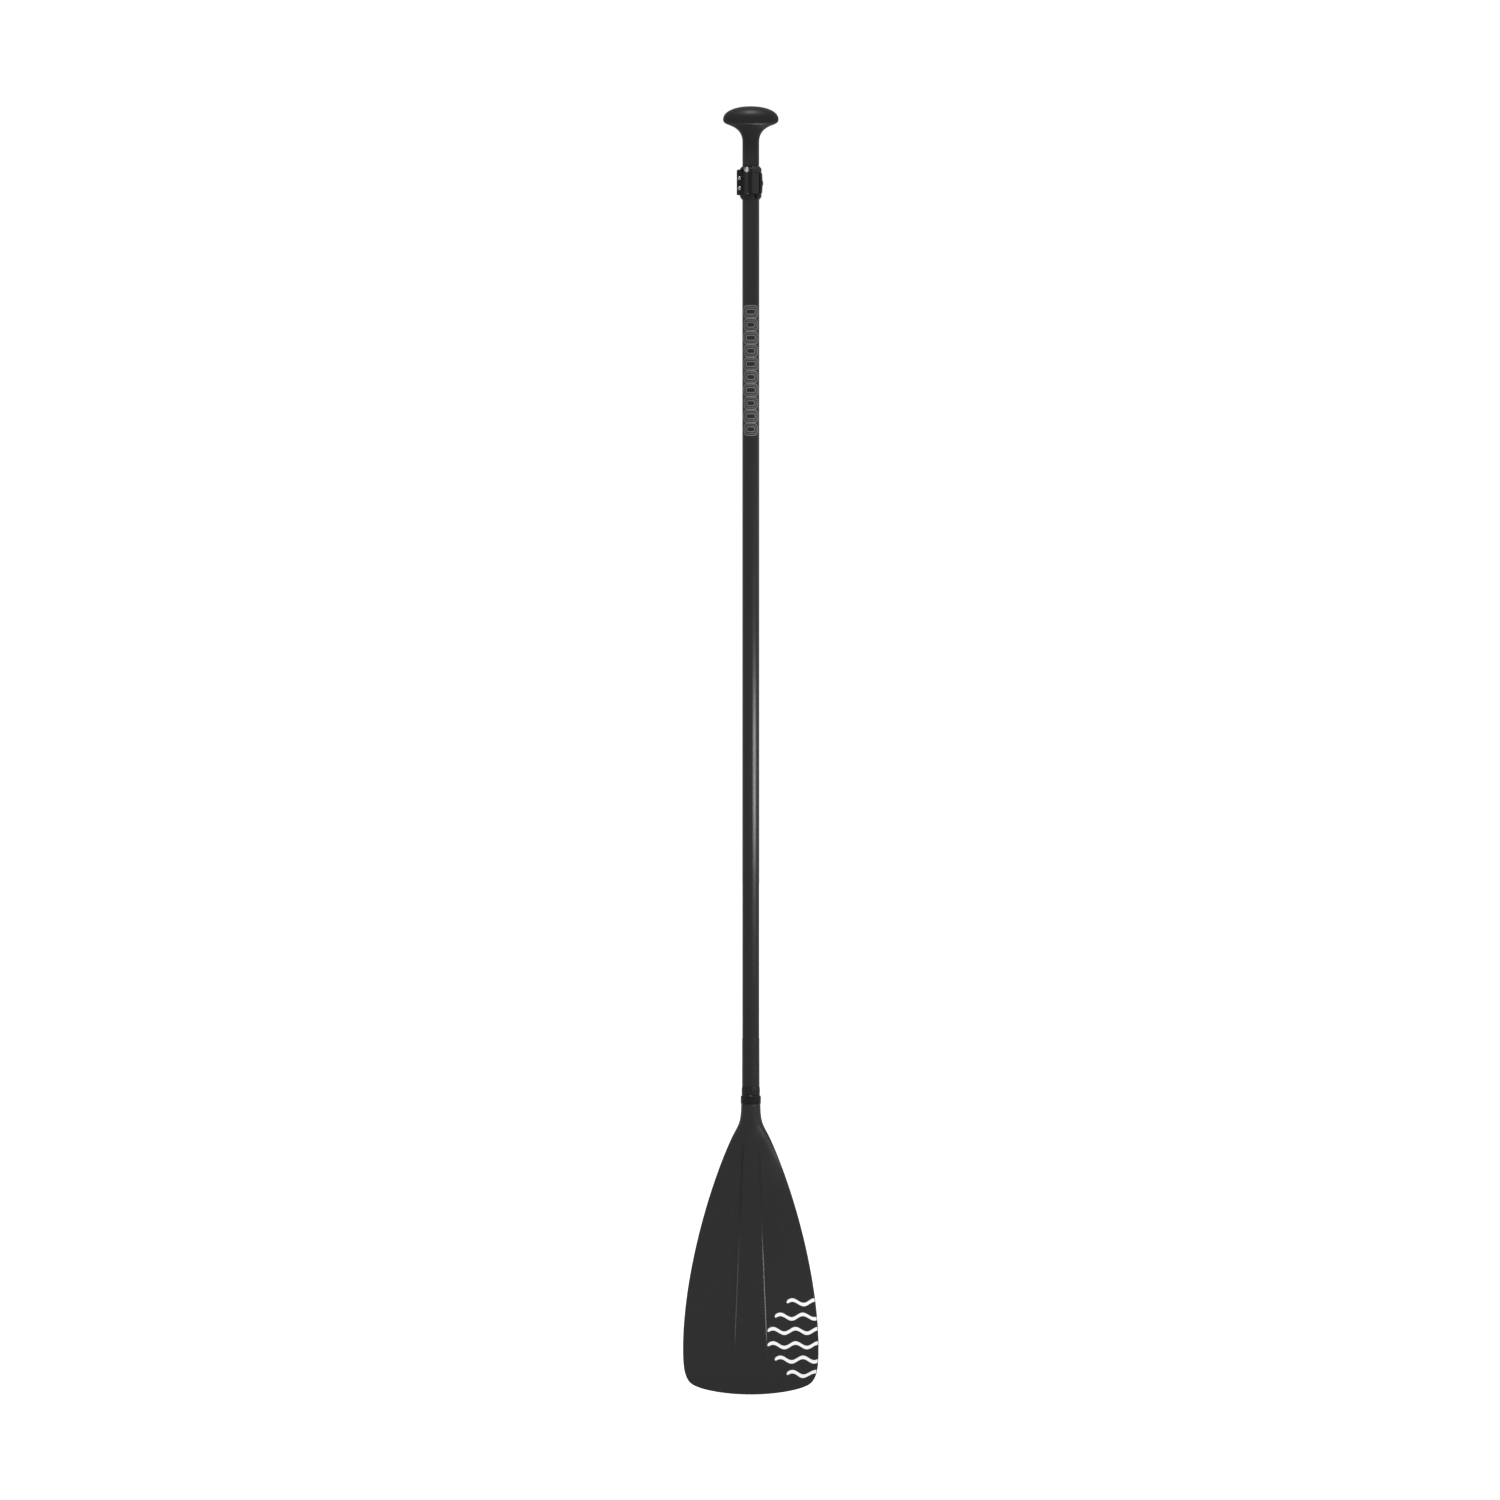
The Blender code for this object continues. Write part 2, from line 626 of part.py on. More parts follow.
def blade(material):
    """Spined blade with a round socket for the shaft. Rows of points follow the bottom edge near
    the tip and are level higher up."""
    builder = bmesh.new()
    faces_of = {"front": -1, "back": 1}
    grids = {side: [] for side in faces_of}
    level_height = 150 * MM
    for half_width, side_height in blade_side():
        fade = (1 - smooth(side_height, CORNER_HEIGHT, level_height)) ** 2
        rows = {side: [] for side in faces_of}
        for x in blade_columns(half_width, side_height):
            u = abs(x) / half_width
            height = side_height + fade * (bottom_rise(u) - CORNER_HEIGHT)
            thickness = blade_half_thickness(x, half_width, side_height)
            if u * half_width <= spine_half_width(side_height) + SPINE_SLOPE / 2:
                thickness += spine_rise(side_height)
            for side, sign in faces_of.items():
                y = blade_middle_y(height) + sign * thickness
                rows[side].append(builder.verts.new((x, y, up(height))))
        for side in faces_of:
            grids[side].append(rows[side])
    for grid in grids.values():
        for low, high in zip(grid, grid[1:]):
            for i in range(len(low) - 1):
                builder.faces.new((low[i], low[i + 1], high[i + 1], high[i]))
    front, back = grids["front"], grids["back"]
    for i in range(len(front[0]) - 1):
        builder.faces.new((front[0][i], front[0][i + 1], back[0][i + 1], back[0][i]))
    for row in range(len(front) - 1):
        for end in (0, -1):
            edge = (front[row][end], front[row + 1][end], back[row + 1][end], back[row][end])
            builder.faces.new(edge)
    builder.faces.new(front[-1] + back[-1][::-1])
    obj = solid("blade", builder, material, smooth_angle=20)
    socket_r = SHAFT_R + GAP
    top = BLADE_TOP + 10 * MM
    section = [(0.0, SOCKET_FLOOR), (socket_r, SOCKET_FLOOR), (socket_r, top), (0.0, top)]
    cut(obj, turned("socket_cutter", section, None))
    cut(obj, rivet_hole("blade_rivet_cutter", BLADE_RIVET_HEIGHT, 20 * MM))
    return obj


# --- assembly -----------------------------------------------------------------------------------


def clear_scene():
    for obj in list(bpy.data.objects):
        bpy.data.objects.remove(obj, do_unlink=True)


def hang_lever(lever):
    """Puts the lever on an empty that stands on the pivot's axis."""
    pivot = bpy.data.objects.new("lever_pivot_axis", None)
    bpy.context.collection.objects.link(pivot)
    pivot.location = (PIVOT_X, PIVOT_Y, up((LEVER_FOOT + LEVER_TOP) / 2))
    bpy.context.view_layer.update()
    lever.parent = pivot
    lever.matrix_parent_inverse = pivot.matrix_world.inverted()


def build():
    clear_scene()
    moulded = finish("matte black grip plastic", (0.022, 0.022, 0.023), 0.55)
    blade_plastic = finish("black blade plastic", (0.028, 0.028, 0.029), 0.5)
    anodised = finish("black anodised tube", (0.03, 0.03, 0.031), 0.35, 0.6)
    gloss = finish("glossy black clamp plastic", (0.014, 0.014, 0.015), 0.25)
    rubber = finish("black rubber", (0.018, 0.018, 0.018), 0.8)
    bush_plastic = finish("dark grey bush plastic", (0.08, 0.08, 0.085), 0.5)
    foam = finish("white closed cell foam", (0.75, 0.75, 0.72), 0.9)
    steel = finish("stainless steel", (0.62, 0.62, 0.61), 0.3, 1.0)
    rivet_alloy = finish("blackened rivet alloy", (0.05, 0.05, 0.05), 0.4, 0.8)

    palm_grip(moulded)
    rivet("grip_rivet", GRIP_RIVET_HEIGHT, STEM_R, 8.5 * MM, rivet_alloy)
    extension_tube(anodised)
    guide_bush(bush_plastic)
    main_shaft(anodised)
    shaft_plug("shaft_foam_plug", 560 * MM, 600 * MM, foam)
    shaft_plug("shaft_end_bung", 404.5 * MM, 416 * MM, rubber)
    clamp_collar(gloss)
    hang_lever(clamp_lever(gloss))
    lever_pivot_pin(steel)
    cam_plate(steel)
    for name, height in SCREW_HEIGHTS.items():
        clamp_screw(name, height, steel)
        screw_washer(name, height, steel)
    collar_over_shaft("shrink_sleeve", SHRINK_SLEEVE, 0.2 * MM, rubber, bore_gap=0.25 * MM)
    collar_over_shaft("neck_seal", NECK_SEAL, 0.4 * MM, rubber)
    collar_over_shaft("neck_ring", NECK_RING, 1.2 * MM, gloss)
    blade(blade_plastic)
    rivet("blade_rivet", BLADE_RIVET_HEIGHT, NECK_R, 10.5 * MM, rivet_alloy)


build()
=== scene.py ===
import json
from math import asin, atan2, ceil, cos, hypot, pi, radians, sin, sqrt, tan

import bmesh
import bpy
import numpy as np
from mathutils import Matrix, Vector, noise
from mathutils.bvhtree import BVHTree


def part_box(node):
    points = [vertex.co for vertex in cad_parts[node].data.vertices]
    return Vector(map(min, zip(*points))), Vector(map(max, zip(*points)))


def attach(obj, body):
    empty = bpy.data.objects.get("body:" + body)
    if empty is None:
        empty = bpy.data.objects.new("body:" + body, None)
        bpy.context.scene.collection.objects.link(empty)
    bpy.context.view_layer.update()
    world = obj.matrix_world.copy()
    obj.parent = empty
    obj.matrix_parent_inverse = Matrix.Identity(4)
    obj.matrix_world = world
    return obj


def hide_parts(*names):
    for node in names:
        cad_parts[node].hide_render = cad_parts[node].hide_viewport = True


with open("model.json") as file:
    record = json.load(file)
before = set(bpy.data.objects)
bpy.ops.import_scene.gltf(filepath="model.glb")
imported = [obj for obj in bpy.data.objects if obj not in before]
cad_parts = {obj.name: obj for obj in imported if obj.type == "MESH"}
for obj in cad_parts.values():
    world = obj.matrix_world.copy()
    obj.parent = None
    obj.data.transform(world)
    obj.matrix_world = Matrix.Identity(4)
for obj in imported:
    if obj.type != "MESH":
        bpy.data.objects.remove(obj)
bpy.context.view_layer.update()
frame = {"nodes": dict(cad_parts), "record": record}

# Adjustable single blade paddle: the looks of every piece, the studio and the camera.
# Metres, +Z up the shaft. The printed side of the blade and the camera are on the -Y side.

MM = 0.001
GAP = 0.3 * MM
ROUND_SIDES = 128

SHAFT_BODY = "shaft_and_blade"
LEVER_BODY = "lever"
GRIP_BODY = "grip_and_extension"

TIP_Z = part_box("blade")[0].z
BLADE_TOP_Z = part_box("blade")[1].z
BLADE_HALF_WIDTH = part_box("blade")[1].x
SHAFT_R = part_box("main_shaft")[1].x
EXTENSION_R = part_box("extension_tube")[1].x
STEM_R = 12.6 * MM
GRIP_HALF_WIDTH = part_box("palm_grip")[1].x
GRIP_HALF_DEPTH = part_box("palm_grip")[1].y
CLAMP_FOOT_Z, CLAMP_TOP_Z = (corner.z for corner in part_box("clamp_collar"))
LEVER_FOOT_Z, LEVER_TOP_Z = (corner.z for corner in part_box("clamp_lever"))
JOINTS = {j["name"]: j for j in frame["record"]["behaviour"]["joints"]}
PIVOT = Vector(JOINTS["lever_pivot"]["pos_m"])


def up(height):
    """World Z of a height above the tip of the blade."""
    return TIP_Z + height


def smooth(value, start, end):
    """0 at start, 1 at end, and an S curve between."""
    t = min(max((value - start) / (end - start), 0.0), 1.0)
    return t * t * (3 - 2 * t)


def eased(distance, reach):
    """0 at an edge, rising as a round does to 1 at a reach from it."""
    return 1 - (1 - min(distance / reach, 1.0)) ** 2


def bezier(points, steps):
    """Points along a cubic curve, its first point left out."""
    a, b, c, d = (np.array(p) for p in points)
    curve = []
    for step in range(1, steps + 1):
        t = step / steps
        s = 1 - t
        curve.append(tuple(s**3 * a + 3 * s * s * t * b + 3 * s * t * t * c + t**3 * d))
    return curve


# --- mesh helpers ---


def add_object(name, data):
    obj = bpy.data.objects.new(name, data)
    bpy.context.scene.collection.objects.link(obj)
    return obj


def finished(name, builder, material=None, body=None, replaces=(), sharp=35):
    """An object from a bmesh: faces outwards, smooth, and riding on its body if it has one."""
    bmesh.ops.recalc_face_normals(builder, faces=builder.faces)
    mesh = bpy.data.meshes.new(name)
    builder.to_mesh(mesh)
    builder.free()
    mesh.shade_smooth()
    mesh.set_sharp_from_angle(angle=radians(sharp))
    obj = add_object(name, mesh)
    if material:
        mesh.materials.append(material)
    if body:
        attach(obj, body)
        if replaces:
            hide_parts(*replaces)
    return obj


def add_skin(loops, builder=None, ends_joined=False, capped=False):
    """A bmesh with faces through loops of points. A loop of one point closes an end."""
    if builder is None:
        builder = bmesh.new()
    rings = [[builder.verts.new(point) for point in loop] for loop in loops]
    pairs = list(zip(rings, rings[1:]))
    if ends_joined:
        pairs.append((rings[-1], rings[0]))
    for low, high in pairs:
        count = max(len(low), len(high))
        for i in range(count):
            j = (i + 1) % count
            corners = [low[i % len(low)], low[j % len(low)], high[j % len(high)], high[i % len(high)]]
            builder.faces.new(list(dict.fromkeys(corners)))
    if capped:
        builder.faces.new(rings[0])
        builder.faces.new(rings[-1])
    return builder


def ring(radius, z, sides=ROUND_SIDES, depth=None, centre=(0.0, 0.0)):
    """Points round a circle, or an ellipse of that half depth; a single point for radius 0."""
    if radius == 0:
        return [(centre[0], centre[1], z)]
    depth = radius if depth is None else depth
    loop = []
    for i in range(sides):
        angle = 2 * pi * i / sides
        x = centre[0] + radius * cos(angle)
        loop.append((x, centre[1] + depth * sin(angle), z))
    return loop


def rounded(section, radius, steps=5):
    """A closed (radius, z) section, each of its corners rounded off."""
    result = []
    count = len(section)
    for i, point in enumerate(section):
        here = Vector(point)
        before = Vector(section[i - 1]) - here
        after = Vector(section[(i + 1) % count]) - here
        reach = min(radius, 0.45 * before.length, 0.45 * after.length)
        start = here + before.normalized() * reach
        end = here + after.normalized() * reach
        for step in range(steps + 1):
            t = step / steps
            curve = start * (1 - t) ** 2 + here * (2 * t * (1 - t)) + end * t * t
            result.append((curve.x, curve.y))
    return result


def polar(radius, angle, z):
    """A point round the shaft's axis."""
    return (radius * cos(angle), radius * sin(angle), z)


def turned_solid(section, sides=ROUND_SIDES, centre=(0.0, 0.0)):
    """A bmesh of revolution: from axis to axis, or right round a hollow section."""
    loops = [ring(radius, z, sides, centre=centre) for radius, z in section]
    return add_skin(loops, ends_joined=section[0][0] > 0)


def rod(radius, start, end, sides, centre=(0.0, 0.0)):
    """A plain round bar to cut a hole with."""
    return turned_solid([(0.0, start), (radius, start), (radius, end), (0.0, end)], sides, centre)


def along_y(builder, x, z):
    """Lays a piece turned about Z along Y instead."""
    swap = Matrix(((1, 0, 0, x), (0, 0, 1, 0), (0, 1, 0, z), (0, 0, 0, 1)))
    bmesh.ops.transform(builder, matrix=swap, verts=builder.verts)
    return builder


def block(low, high):
    """A box between two corners."""
    builder = bmesh.new()
    bmesh.ops.create_cube(builder, size=1.0)
    for vertex in builder.verts:
        for axis in range(3):
            vertex.co[axis] = high[axis] if vertex.co[axis] > 0 else low[axis]
    return builder


def reshape(obj, builders, operation="DIFFERENCE", sharp=35):
    """Cuts shapes out of a piece, or joins them to it, and keeps only the result."""
    for builder in builders:
        tool = finished("tool", builder)
        modifier = obj.modifiers.new("shape", "BOOLEAN")
        modifier.operation = operation
        modifier.solver = "EXACT"
        modifier.object = tool
        depsgraph = bpy.context.evaluated_depsgraph_get()
        shaped = bpy.data.meshes.new_from_object(obj.evaluated_get(depsgraph))
        obj.modifiers.clear()
        old = obj.data
        obj.data = shaped
        bpy.data.meshes.remove(old)
        bpy.data.objects.remove(tool, do_unlink=True)
    obj.data.shade_smooth()
    obj.data.set_sharp_from_angle(angle=radians(sharp))


# --- materials ---


def feed(tree, node, inputs):
    """Sets each input to its value, or joins it to the socket given for it."""
    for key, value in inputs.items():
        if isinstance(value, bpy.types.NodeSocket):
            tree.links.new(value, node.inputs[key])
        else:
            node.inputs[key].default_value = value


def add_node(tree, kind, inputs={}, **settings):
    """A shader node with its settings made and its inputs fed."""
    node = tree.nodes.new("ShaderNode" + kind)
    for key, value in settings.items():
        setattr(node, key, value)
    feed(tree, node, inputs)
    return node


def noise_value(tree, scale, stretch=(1, 1, 1), detail=2.0, roughness=0.5):
    coords = add_node(tree, "TexCoord").outputs["Object"]
    vector = add_node(tree, "Mapping", {"Vector": coords, "Scale": stretch}).outputs["Vector"]
    inputs = {"Vector": vector, "Scale": scale, "Detail": detail, "Roughness": roughness}
    return add_node(tree, "TexNoise", inputs).outputs["Fac"]


def place_along(tree, axis):
    """A point's X, Y or Z in its piece's own frame."""
    coords = add_node(tree, "TexCoord").outputs["Object"]
    return add_node(tree, "SeparateXYZ", {"Vector": coords}).outputs[axis]


def remap(tree, value, low, high, to_low=0.0, to_high=1.0):
    inputs = {"Value": value, "From Min": low, "From Max": high, "To Min": to_low, "To Max": to_high}
    node = add_node(tree, "MapRange", inputs, interpolation_type="SMOOTHSTEP")
    return node.outputs["Result"]


def maths(tree, operation, a, b=0.0):
    return add_node(tree, "Math", {0: a, 1: b}, operation=operation).outputs["Value"]


def blend_colour(tree, factor, a, b):
    node = add_node(tree, "Mix", {"Factor": factor, 6: a, 7: b}, data_type="RGBA")
    return node.outputs[2]


def mix_shaders(tree, factor, first, second, output):
    mix = add_node(tree, "MixShader", {"Fac": factor, 1: first, 2: second})
    feed(tree, tree.nodes[output], {"Surface": mix.outputs["Shader"]})


def grey(value, tint=(1.0, 1.0, 1.0)):
    return (value * tint[0], value * tint[1], value * tint[2], 1.0)


def surface(name, tone, roughness, spread=0.06, grain=(900.0, 0.02), scratch=None, wear=0.0,
            stretch=(1, 1, 1), metallic=0.0, specular=0.5, tint=(1, 1, 1), cloud=0.12, seam=False,
            pale=None, glow=0.0):
    """A procedural finish. tone is the base colour's grey; spread is how far roughness wanders;
    grain is (scale, depth in mm) of the fine bump; scratch is (scale, stretch, amount); wear is
    how much lighter its edges are; seam adds a mould parting line in the X-Z plane; pale is (axis,
    middle, fade, full, tone), a band about the middle with that tone, which paints light or shade
    into the colour; glow makes the surface emit light, a painted glow that lifts a printed white
    to paper white."""
    material = bpy.data.materials.new(name)
    material.use_nodes = True
    tree = material.node_tree
    shader = tree.nodes["Principled BSDF"]
    feed(tree, shader, {"Metallic": metallic, "Specular IOR Level": specular})
    # glow makes the surface emit light: painted light, as the piece is no lamp
    feed(tree, shader, {"Emission Color": grey(1.0), "Emission Strength": glow})

    mottle = noise_value(tree, 14.0, detail=4.0, roughness=0.6)
    colour = blend_colour(tree, mottle, grey(tone * (1 - cloud), tint), grey(tone * (1 + cloud), tint))
    # The pale band paints light or shade into the colour: a lighter or darker band across the piece
    if pale:
        axis, middle, fade, full, pale_tone = pale
        away = maths(tree, "SUBTRACT", place_along(tree, axis), middle)
        away = maths(tree, "ABSOLUTE", away)
        colour = blend_colour(tree, remap(tree, away, fade, full), colour, grey(pale_tone))
    fine = noise_value(tree, grain[0], stretch, detail=3.0)
    rough = remap(tree, mottle, 0.3, 0.7, roughness - spread, roughness + spread)
    fine_rough = remap(tree, fine, 0.3, 0.7, -spread / 2, spread / 2)
    rough = maths(tree, "ADD", rough, fine_rough)
    height = maths(tree, "MULTIPLY", fine, grain[1] * MM)

    if wear > 0:
        pointed = add_node(tree, "NewGeometry").outputs["Pointiness"]
        edge = remap(tree, pointed, 0.53, 0.62)
        patchy = remap(tree, noise_value(tree, 120.0, detail=5.0, roughness=0.7), 0.42, 0.62)
        worn = maths(tree, "MULTIPLY", edge, patchy)
        worn = maths(tree, "MULTIPLY", worn, wear)
        colour = blend_colour(tree, worn, colour, grey(min(tone * 5 + 0.03, 0.8), tint))
    if scratch:
        scale, direction, amount = scratch
        lines = noise_value(tree, scale, direction, detail=1.0)
        here = remap(tree, noise_value(tree, 30.0), 0.5, 0.7)
        lines = maths(tree, "MULTIPLY", remap(tree, lines, 0.66, 0.70), here)
        scuff = maths(tree, "MULTIPLY", lines, amount)
        colour = blend_colour(tree, scuff, colour, grey(tone * 3 + 0.02, tint))
        rough = maths(tree, "ADD", rough, maths(tree, "MULTIPLY", scuff, 0.2))
        height = maths(tree, "SUBTRACT", height, maths(tree, "MULTIPLY", lines, 0.01 * MM))
    if seam:
        distance = maths(tree, "ABSOLUTE", place_along(tree, "Y"))
        ridge = remap(tree, distance, 0.5 * MM, 0.15 * MM, 0.0, 0.12 * MM)
        height = maths(tree, "ADD", height, ridge)

    bump = add_node(tree, "Bump", {"Height": height, "Strength": 1.0, "Distance": 1.0})
    feed(tree, shader, {"Base Color": colour, "Roughness": rough, "Normal": bump.outputs["Normal"]})
    return material


# The grip's pale band paints the stem lighter towards its foot and darker up under the head: painted
# shade from the head
MATTE_GRIP = surface(
    "grip plastic", 0.0175, 0.42, grain=(700.0, 0.025), wear=0.15, specular=0.38,
    scratch=(60.0, (1, 1, 9), 0.25), seam=True, pale=("Z", up(1836 * MM), 50 * MM, 24 * MM, 0.03))
BLADE_PLASTIC = surface(
    "blade plastic", 0.029, 0.34, grain=(500.0, 0.03), wear=0.35, scratch=(26.0, (14, 14, 1), 0.16),
    cloud=0.06)
TUBE_BLACK = surface(
    "black anodised tube", 0.024, 0.22, spread=0.02, grain=(900.0, 0.0008), stretch=(1, 1, 0.2),
    scratch=(40.0, (10, 10, 0.5), 0.08), cloud=0.05)
GLOSS_CLAMP = surface(
    "clamp plastic", 0.005, 0.22, spread=0.05, grain=(650.0, 0.006), wear=0.3,
    scratch=(90.0, (1, 1, 7), 0.2), specular=0.42)
# The rib's crown is painted lighter in a band about x = -6.4 mm: a painted reflection, the sheen of the
# light in front
RIB_PAINTED_SHEEN = surface(
    "clamp rib painted sheen", 0.006, 0.24, spread=0.03, grain=(650.0, 0.006), wear=0.2, specular=0.42,
    pale=("X", -6.4 * MM, 3.6 * MM, 0.4 * MM, 0.036))
LEVER_PLASTIC = surface(
    "lever plastic", 0.008, 0.3, spread=0.05, grain=(650.0, 0.01), wear=0.3,
    scratch=(90.0, (1, 1, 7), 0.2), specular=0.25)
MATTE_CLAMP = surface("clamp panel", 0.027, 0.5, grain=(1100.0, 0.03), wear=0.2)
# Painted shade in the creases beside the spine's upper half: a lower specular and a colour band darkest
# about 315 mm up, so the creases read darker than the blade
SPINE_PAINTED_SHADE = surface(
    "painted shade along the spine", 0.047, 0.46, grain=(500.0, 0.03), cloud=0.06, specular=0.25,
    pale=("Z", up(315 * MM), 74 * MM, 40 * MM, 0.036))
SLEEVE_RUBBER = surface("shrink sleeve", 0.0225, 0.27, grain=(420.0, 0.012), wear=0.1)
SEAL_RUBBER = surface("seal rubber", 0.0155, 0.38, grain=(800.0, 0.04), wear=0.1, specular=0.38)
BUSH_GREY = surface("bush plastic", 0.08, 0.5, wear=0.2)
FOAM_WHITE = surface("closed cell foam", 0.75, 0.9, grain=(1500.0, 0.2), tint=(1.0, 0.99, 0.95))
STEEL = surface(
    "stainless steel", 0.6, 0.28, grain=(900.0, 0.006), stretch=(1, 1, 0.1), metallic=1.0,
    tint=(1.0, 0.99, 0.97), wear=0.2)
BLACK_STEEL = surface("blackened steel", 0.03, 0.35, metallic=0.9, wear=0.6)
RIVET_ALLOY = surface("rivet alloy", 0.05, 0.38, metallic=0.8, wear=0.5)
PRINT_GREY = surface("shaft print", 0.3, 0.45, grain=(1200.0, 0.01), cloud=0.08)
# The blade print also emits light (glow 0.5): a painted glow that keeps it paper white in shade
PRINT_WHITE = surface("blade print", 0.86, 0.42, grain=(1200.0, 0.01), cloud=0.03, glow=0.5)


# --- shaft and extension ---


def middle_z(node):
    low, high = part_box(node)
    return (low.z + high.z) / 2


def rivet_hole(rivet):
    """A bar through the back of a tube, where its rivet goes."""
    return along_y(rod(1.9 * MM, 5 * MM, 20 * MM, 32), 0.0, middle_z(rivet))


def make_tube(name, node, body, cuts):
    """A round tube with slightly broken edges, as long as its CAD node."""
    wall = 1.2 * MM
    low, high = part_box(node)
    outer, inner = high.x, high.x - wall
    section = [(outer, low.z), (outer, high.z), (inner, high.z), (inner, low.z)]
    builder = turned_solid(rounded(section, 0.25 * MM))
    reshape(finished(name, builder, TUBE_BLACK, body, [node]), cuts)


def make_tubes():
    """The shaft, slotted at its top for the clamp to close, and the extension."""
    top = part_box("main_shaft")[1].z
    slot_depth = 42 * MM
    slot = block((-20 * MM, -MM, top - slot_depth), (-5 * MM, MM, top + 5 * MM))
    make_tube("shaft", "main_shaft", SHAFT_BODY, [slot, rivet_hole("blade_rivet")])
    make_tube("extension", "extension_tube", GRIP_BODY, [rivet_hole("grip_rivet")])


PRINT_LIFT = 0.05 * MM
PRINT_STEP = 0.7 * MM        # a longer straight stretch would sink into the tube


def on_tube(radius, across, z):
    """A point on a round tube's front, across being measured round its surface."""
    angle = across / radius
    return (radius * sin(angle), -radius * cos(angle), z)


def printed_line(builder, path, width, radius, closed=True):
    """A thin printed line along a (across, z) path on the front of a tube."""
    count = len(path)
    loops = []
    for i, point in enumerate(path):
        ahead = path[(i + 1) % count if closed else min(i + 1, count - 1)]
        behind = path[i - 1 if closed else max(i - 1, 0)]
        along = (Vector(ahead) - Vector(behind)).normalized()
        side = Vector((-along.y, along.x)) * (width / 2)
        here = Vector(point)
        corners = []
        for offset, lift in ((side, 1), (side, -1), (-side, -1), (-side, 1)):
            place = here + offset
            corners.append(on_tube(radius + lift * PRINT_LIFT, place.x, place.y))
        loops.append(corners)
    add_skin(loops, builder, ends_joined=closed, capped=not closed)


def stadium(half_across, half_height, radius, middle, steps=8):
    """A rounded rectangle's outline, (across, z) points close enough to bend round a tube."""
    corners = ((1, 1, 0), (-1, 1, 90), (-1, -1, 180), (1, -1, 270))
    turns = []
    for side_a, side_z, start in corners:
        for step in range(steps + 1):
            angle = radians(start + 90 * step / steps)
            across = side_a * (half_across - radius) + radius * cos(angle)
            z = middle + side_z * (half_height - radius) + radius * sin(angle)
            turns.append(Vector((across, z)))
    path = []
    for here, after in zip(turns, turns[1:] + turns[:1]):
        pieces = max(1, ceil((after - here).length / PRINT_STEP))
        path += [tuple(here.lerp(after, piece / pieces)) for piece in range(pieces)]
    return path


def make_shaft_print():
    """A chain of outlined rounded links down the front of the shaft."""
    builder = bmesh.new()
    links = 10
    top = up(1641 * MM)
    pitch = 19.7 * MM
    half_height = 9.1 * MM
    outlines = ((0.0, 1.4 * MM), (2.7 * MM, 0.8 * MM), (5.4 * MM, 1.4 * MM))
    for i in range(links):
        middle = top - pitch * (i + 0.5)
        half_across = 12.6 * MM if i % 2 == 0 else 11.6 * MM
        for inset, line in outlines:
            corner_r = 6.8 * MM - 0.8 * inset
            path = stadium(half_across - inset, half_height - inset, corner_r, middle)
            printed_line(builder, path, line, SHAFT_R)
    finished("shaft_print", builder, PRINT_GREY, SHAFT_BODY)


def make_length_marks():
    """Ticks down the front of the extension tube, hidden until it is drawn out."""
    builder = bmesh.new()
    top = CLAMP_TOP_Z - 15 * MM
    travel = 300 * MM
    pitch = 10 * MM
    steps = 20
    for i in range(int(travel / pitch)):
        z = top - pitch * i
        half = 6 * MM if i % 5 == 0 else 3 * MM
        path = [(half * (2 * step / steps - 1), z) for step in range(steps + 1)]
        printed_line(builder, path, 0.6 * MM, EXTENSION_R, closed=False)
    finished("length_marks", builder, PRINT_GREY, GRIP_BODY)


def make_rivet(name, node, body):
    """Domed blind rivet in the back of a tube."""
    low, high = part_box(node)
    head_r = high.x
    shank_r = 1.6 * MM
    seat = high.y - 1.2 * MM
    section = [(0.0, low.y), (shank_r - 0.3 * MM, low.y), (shank_r, low.y + 0.3 * MM), (shank_r, seat)]
    section += [(head_r - 0.1 * MM, seat), (head_r, seat + 0.1 * MM)]
    for step in range(1, 9):
        angle = radians(90 * step / 8)
        dome = 1.1 * MM * sin(angle)
        section.append((head_r * cos(angle) ** 0.7 if step < 8 else 0.0, seat + 0.1 * MM + dome))
    builder = along_y(turned_solid(section, 40), 0.0, middle_z(node))
    dimple_r = 0.75 * MM
    rivet = finished(name, builder, RIVET_ALLOY, body, [node])
    above = high.y + MM
    pit = [(0.0, high.y - 0.45 * MM), (dimple_r, high.y - 0.35 * MM), (dimple_r, above), (0.0, above)]
    reshape(rivet, [along_y(turned_solid(pit, 24), 0.0, middle_z(node))])


# --- palm grip ---


def grip_depth(z, lip_z):
    """Half depth of the grip under its lip: a rounded lip, then a long taper into the round stem."""
    lip_foot, taper_foot = up(1913.6 * MM), up(1887 * MM)
    taper_depth = 19.6 * MM
    round_lip = sqrt(max(0.0, 1 - ((lip_z - z) / (lip_z - lip_foot)) ** 2))
    taper = min(max((z - taper_foot) / (lip_foot - taper_foot), 0.0), 1.0)
    depth = STEM_R + (taper_depth - STEM_R) * taper**1.4
    return depth + (GRIP_HALF_DEPTH - taper_depth) * round_lip


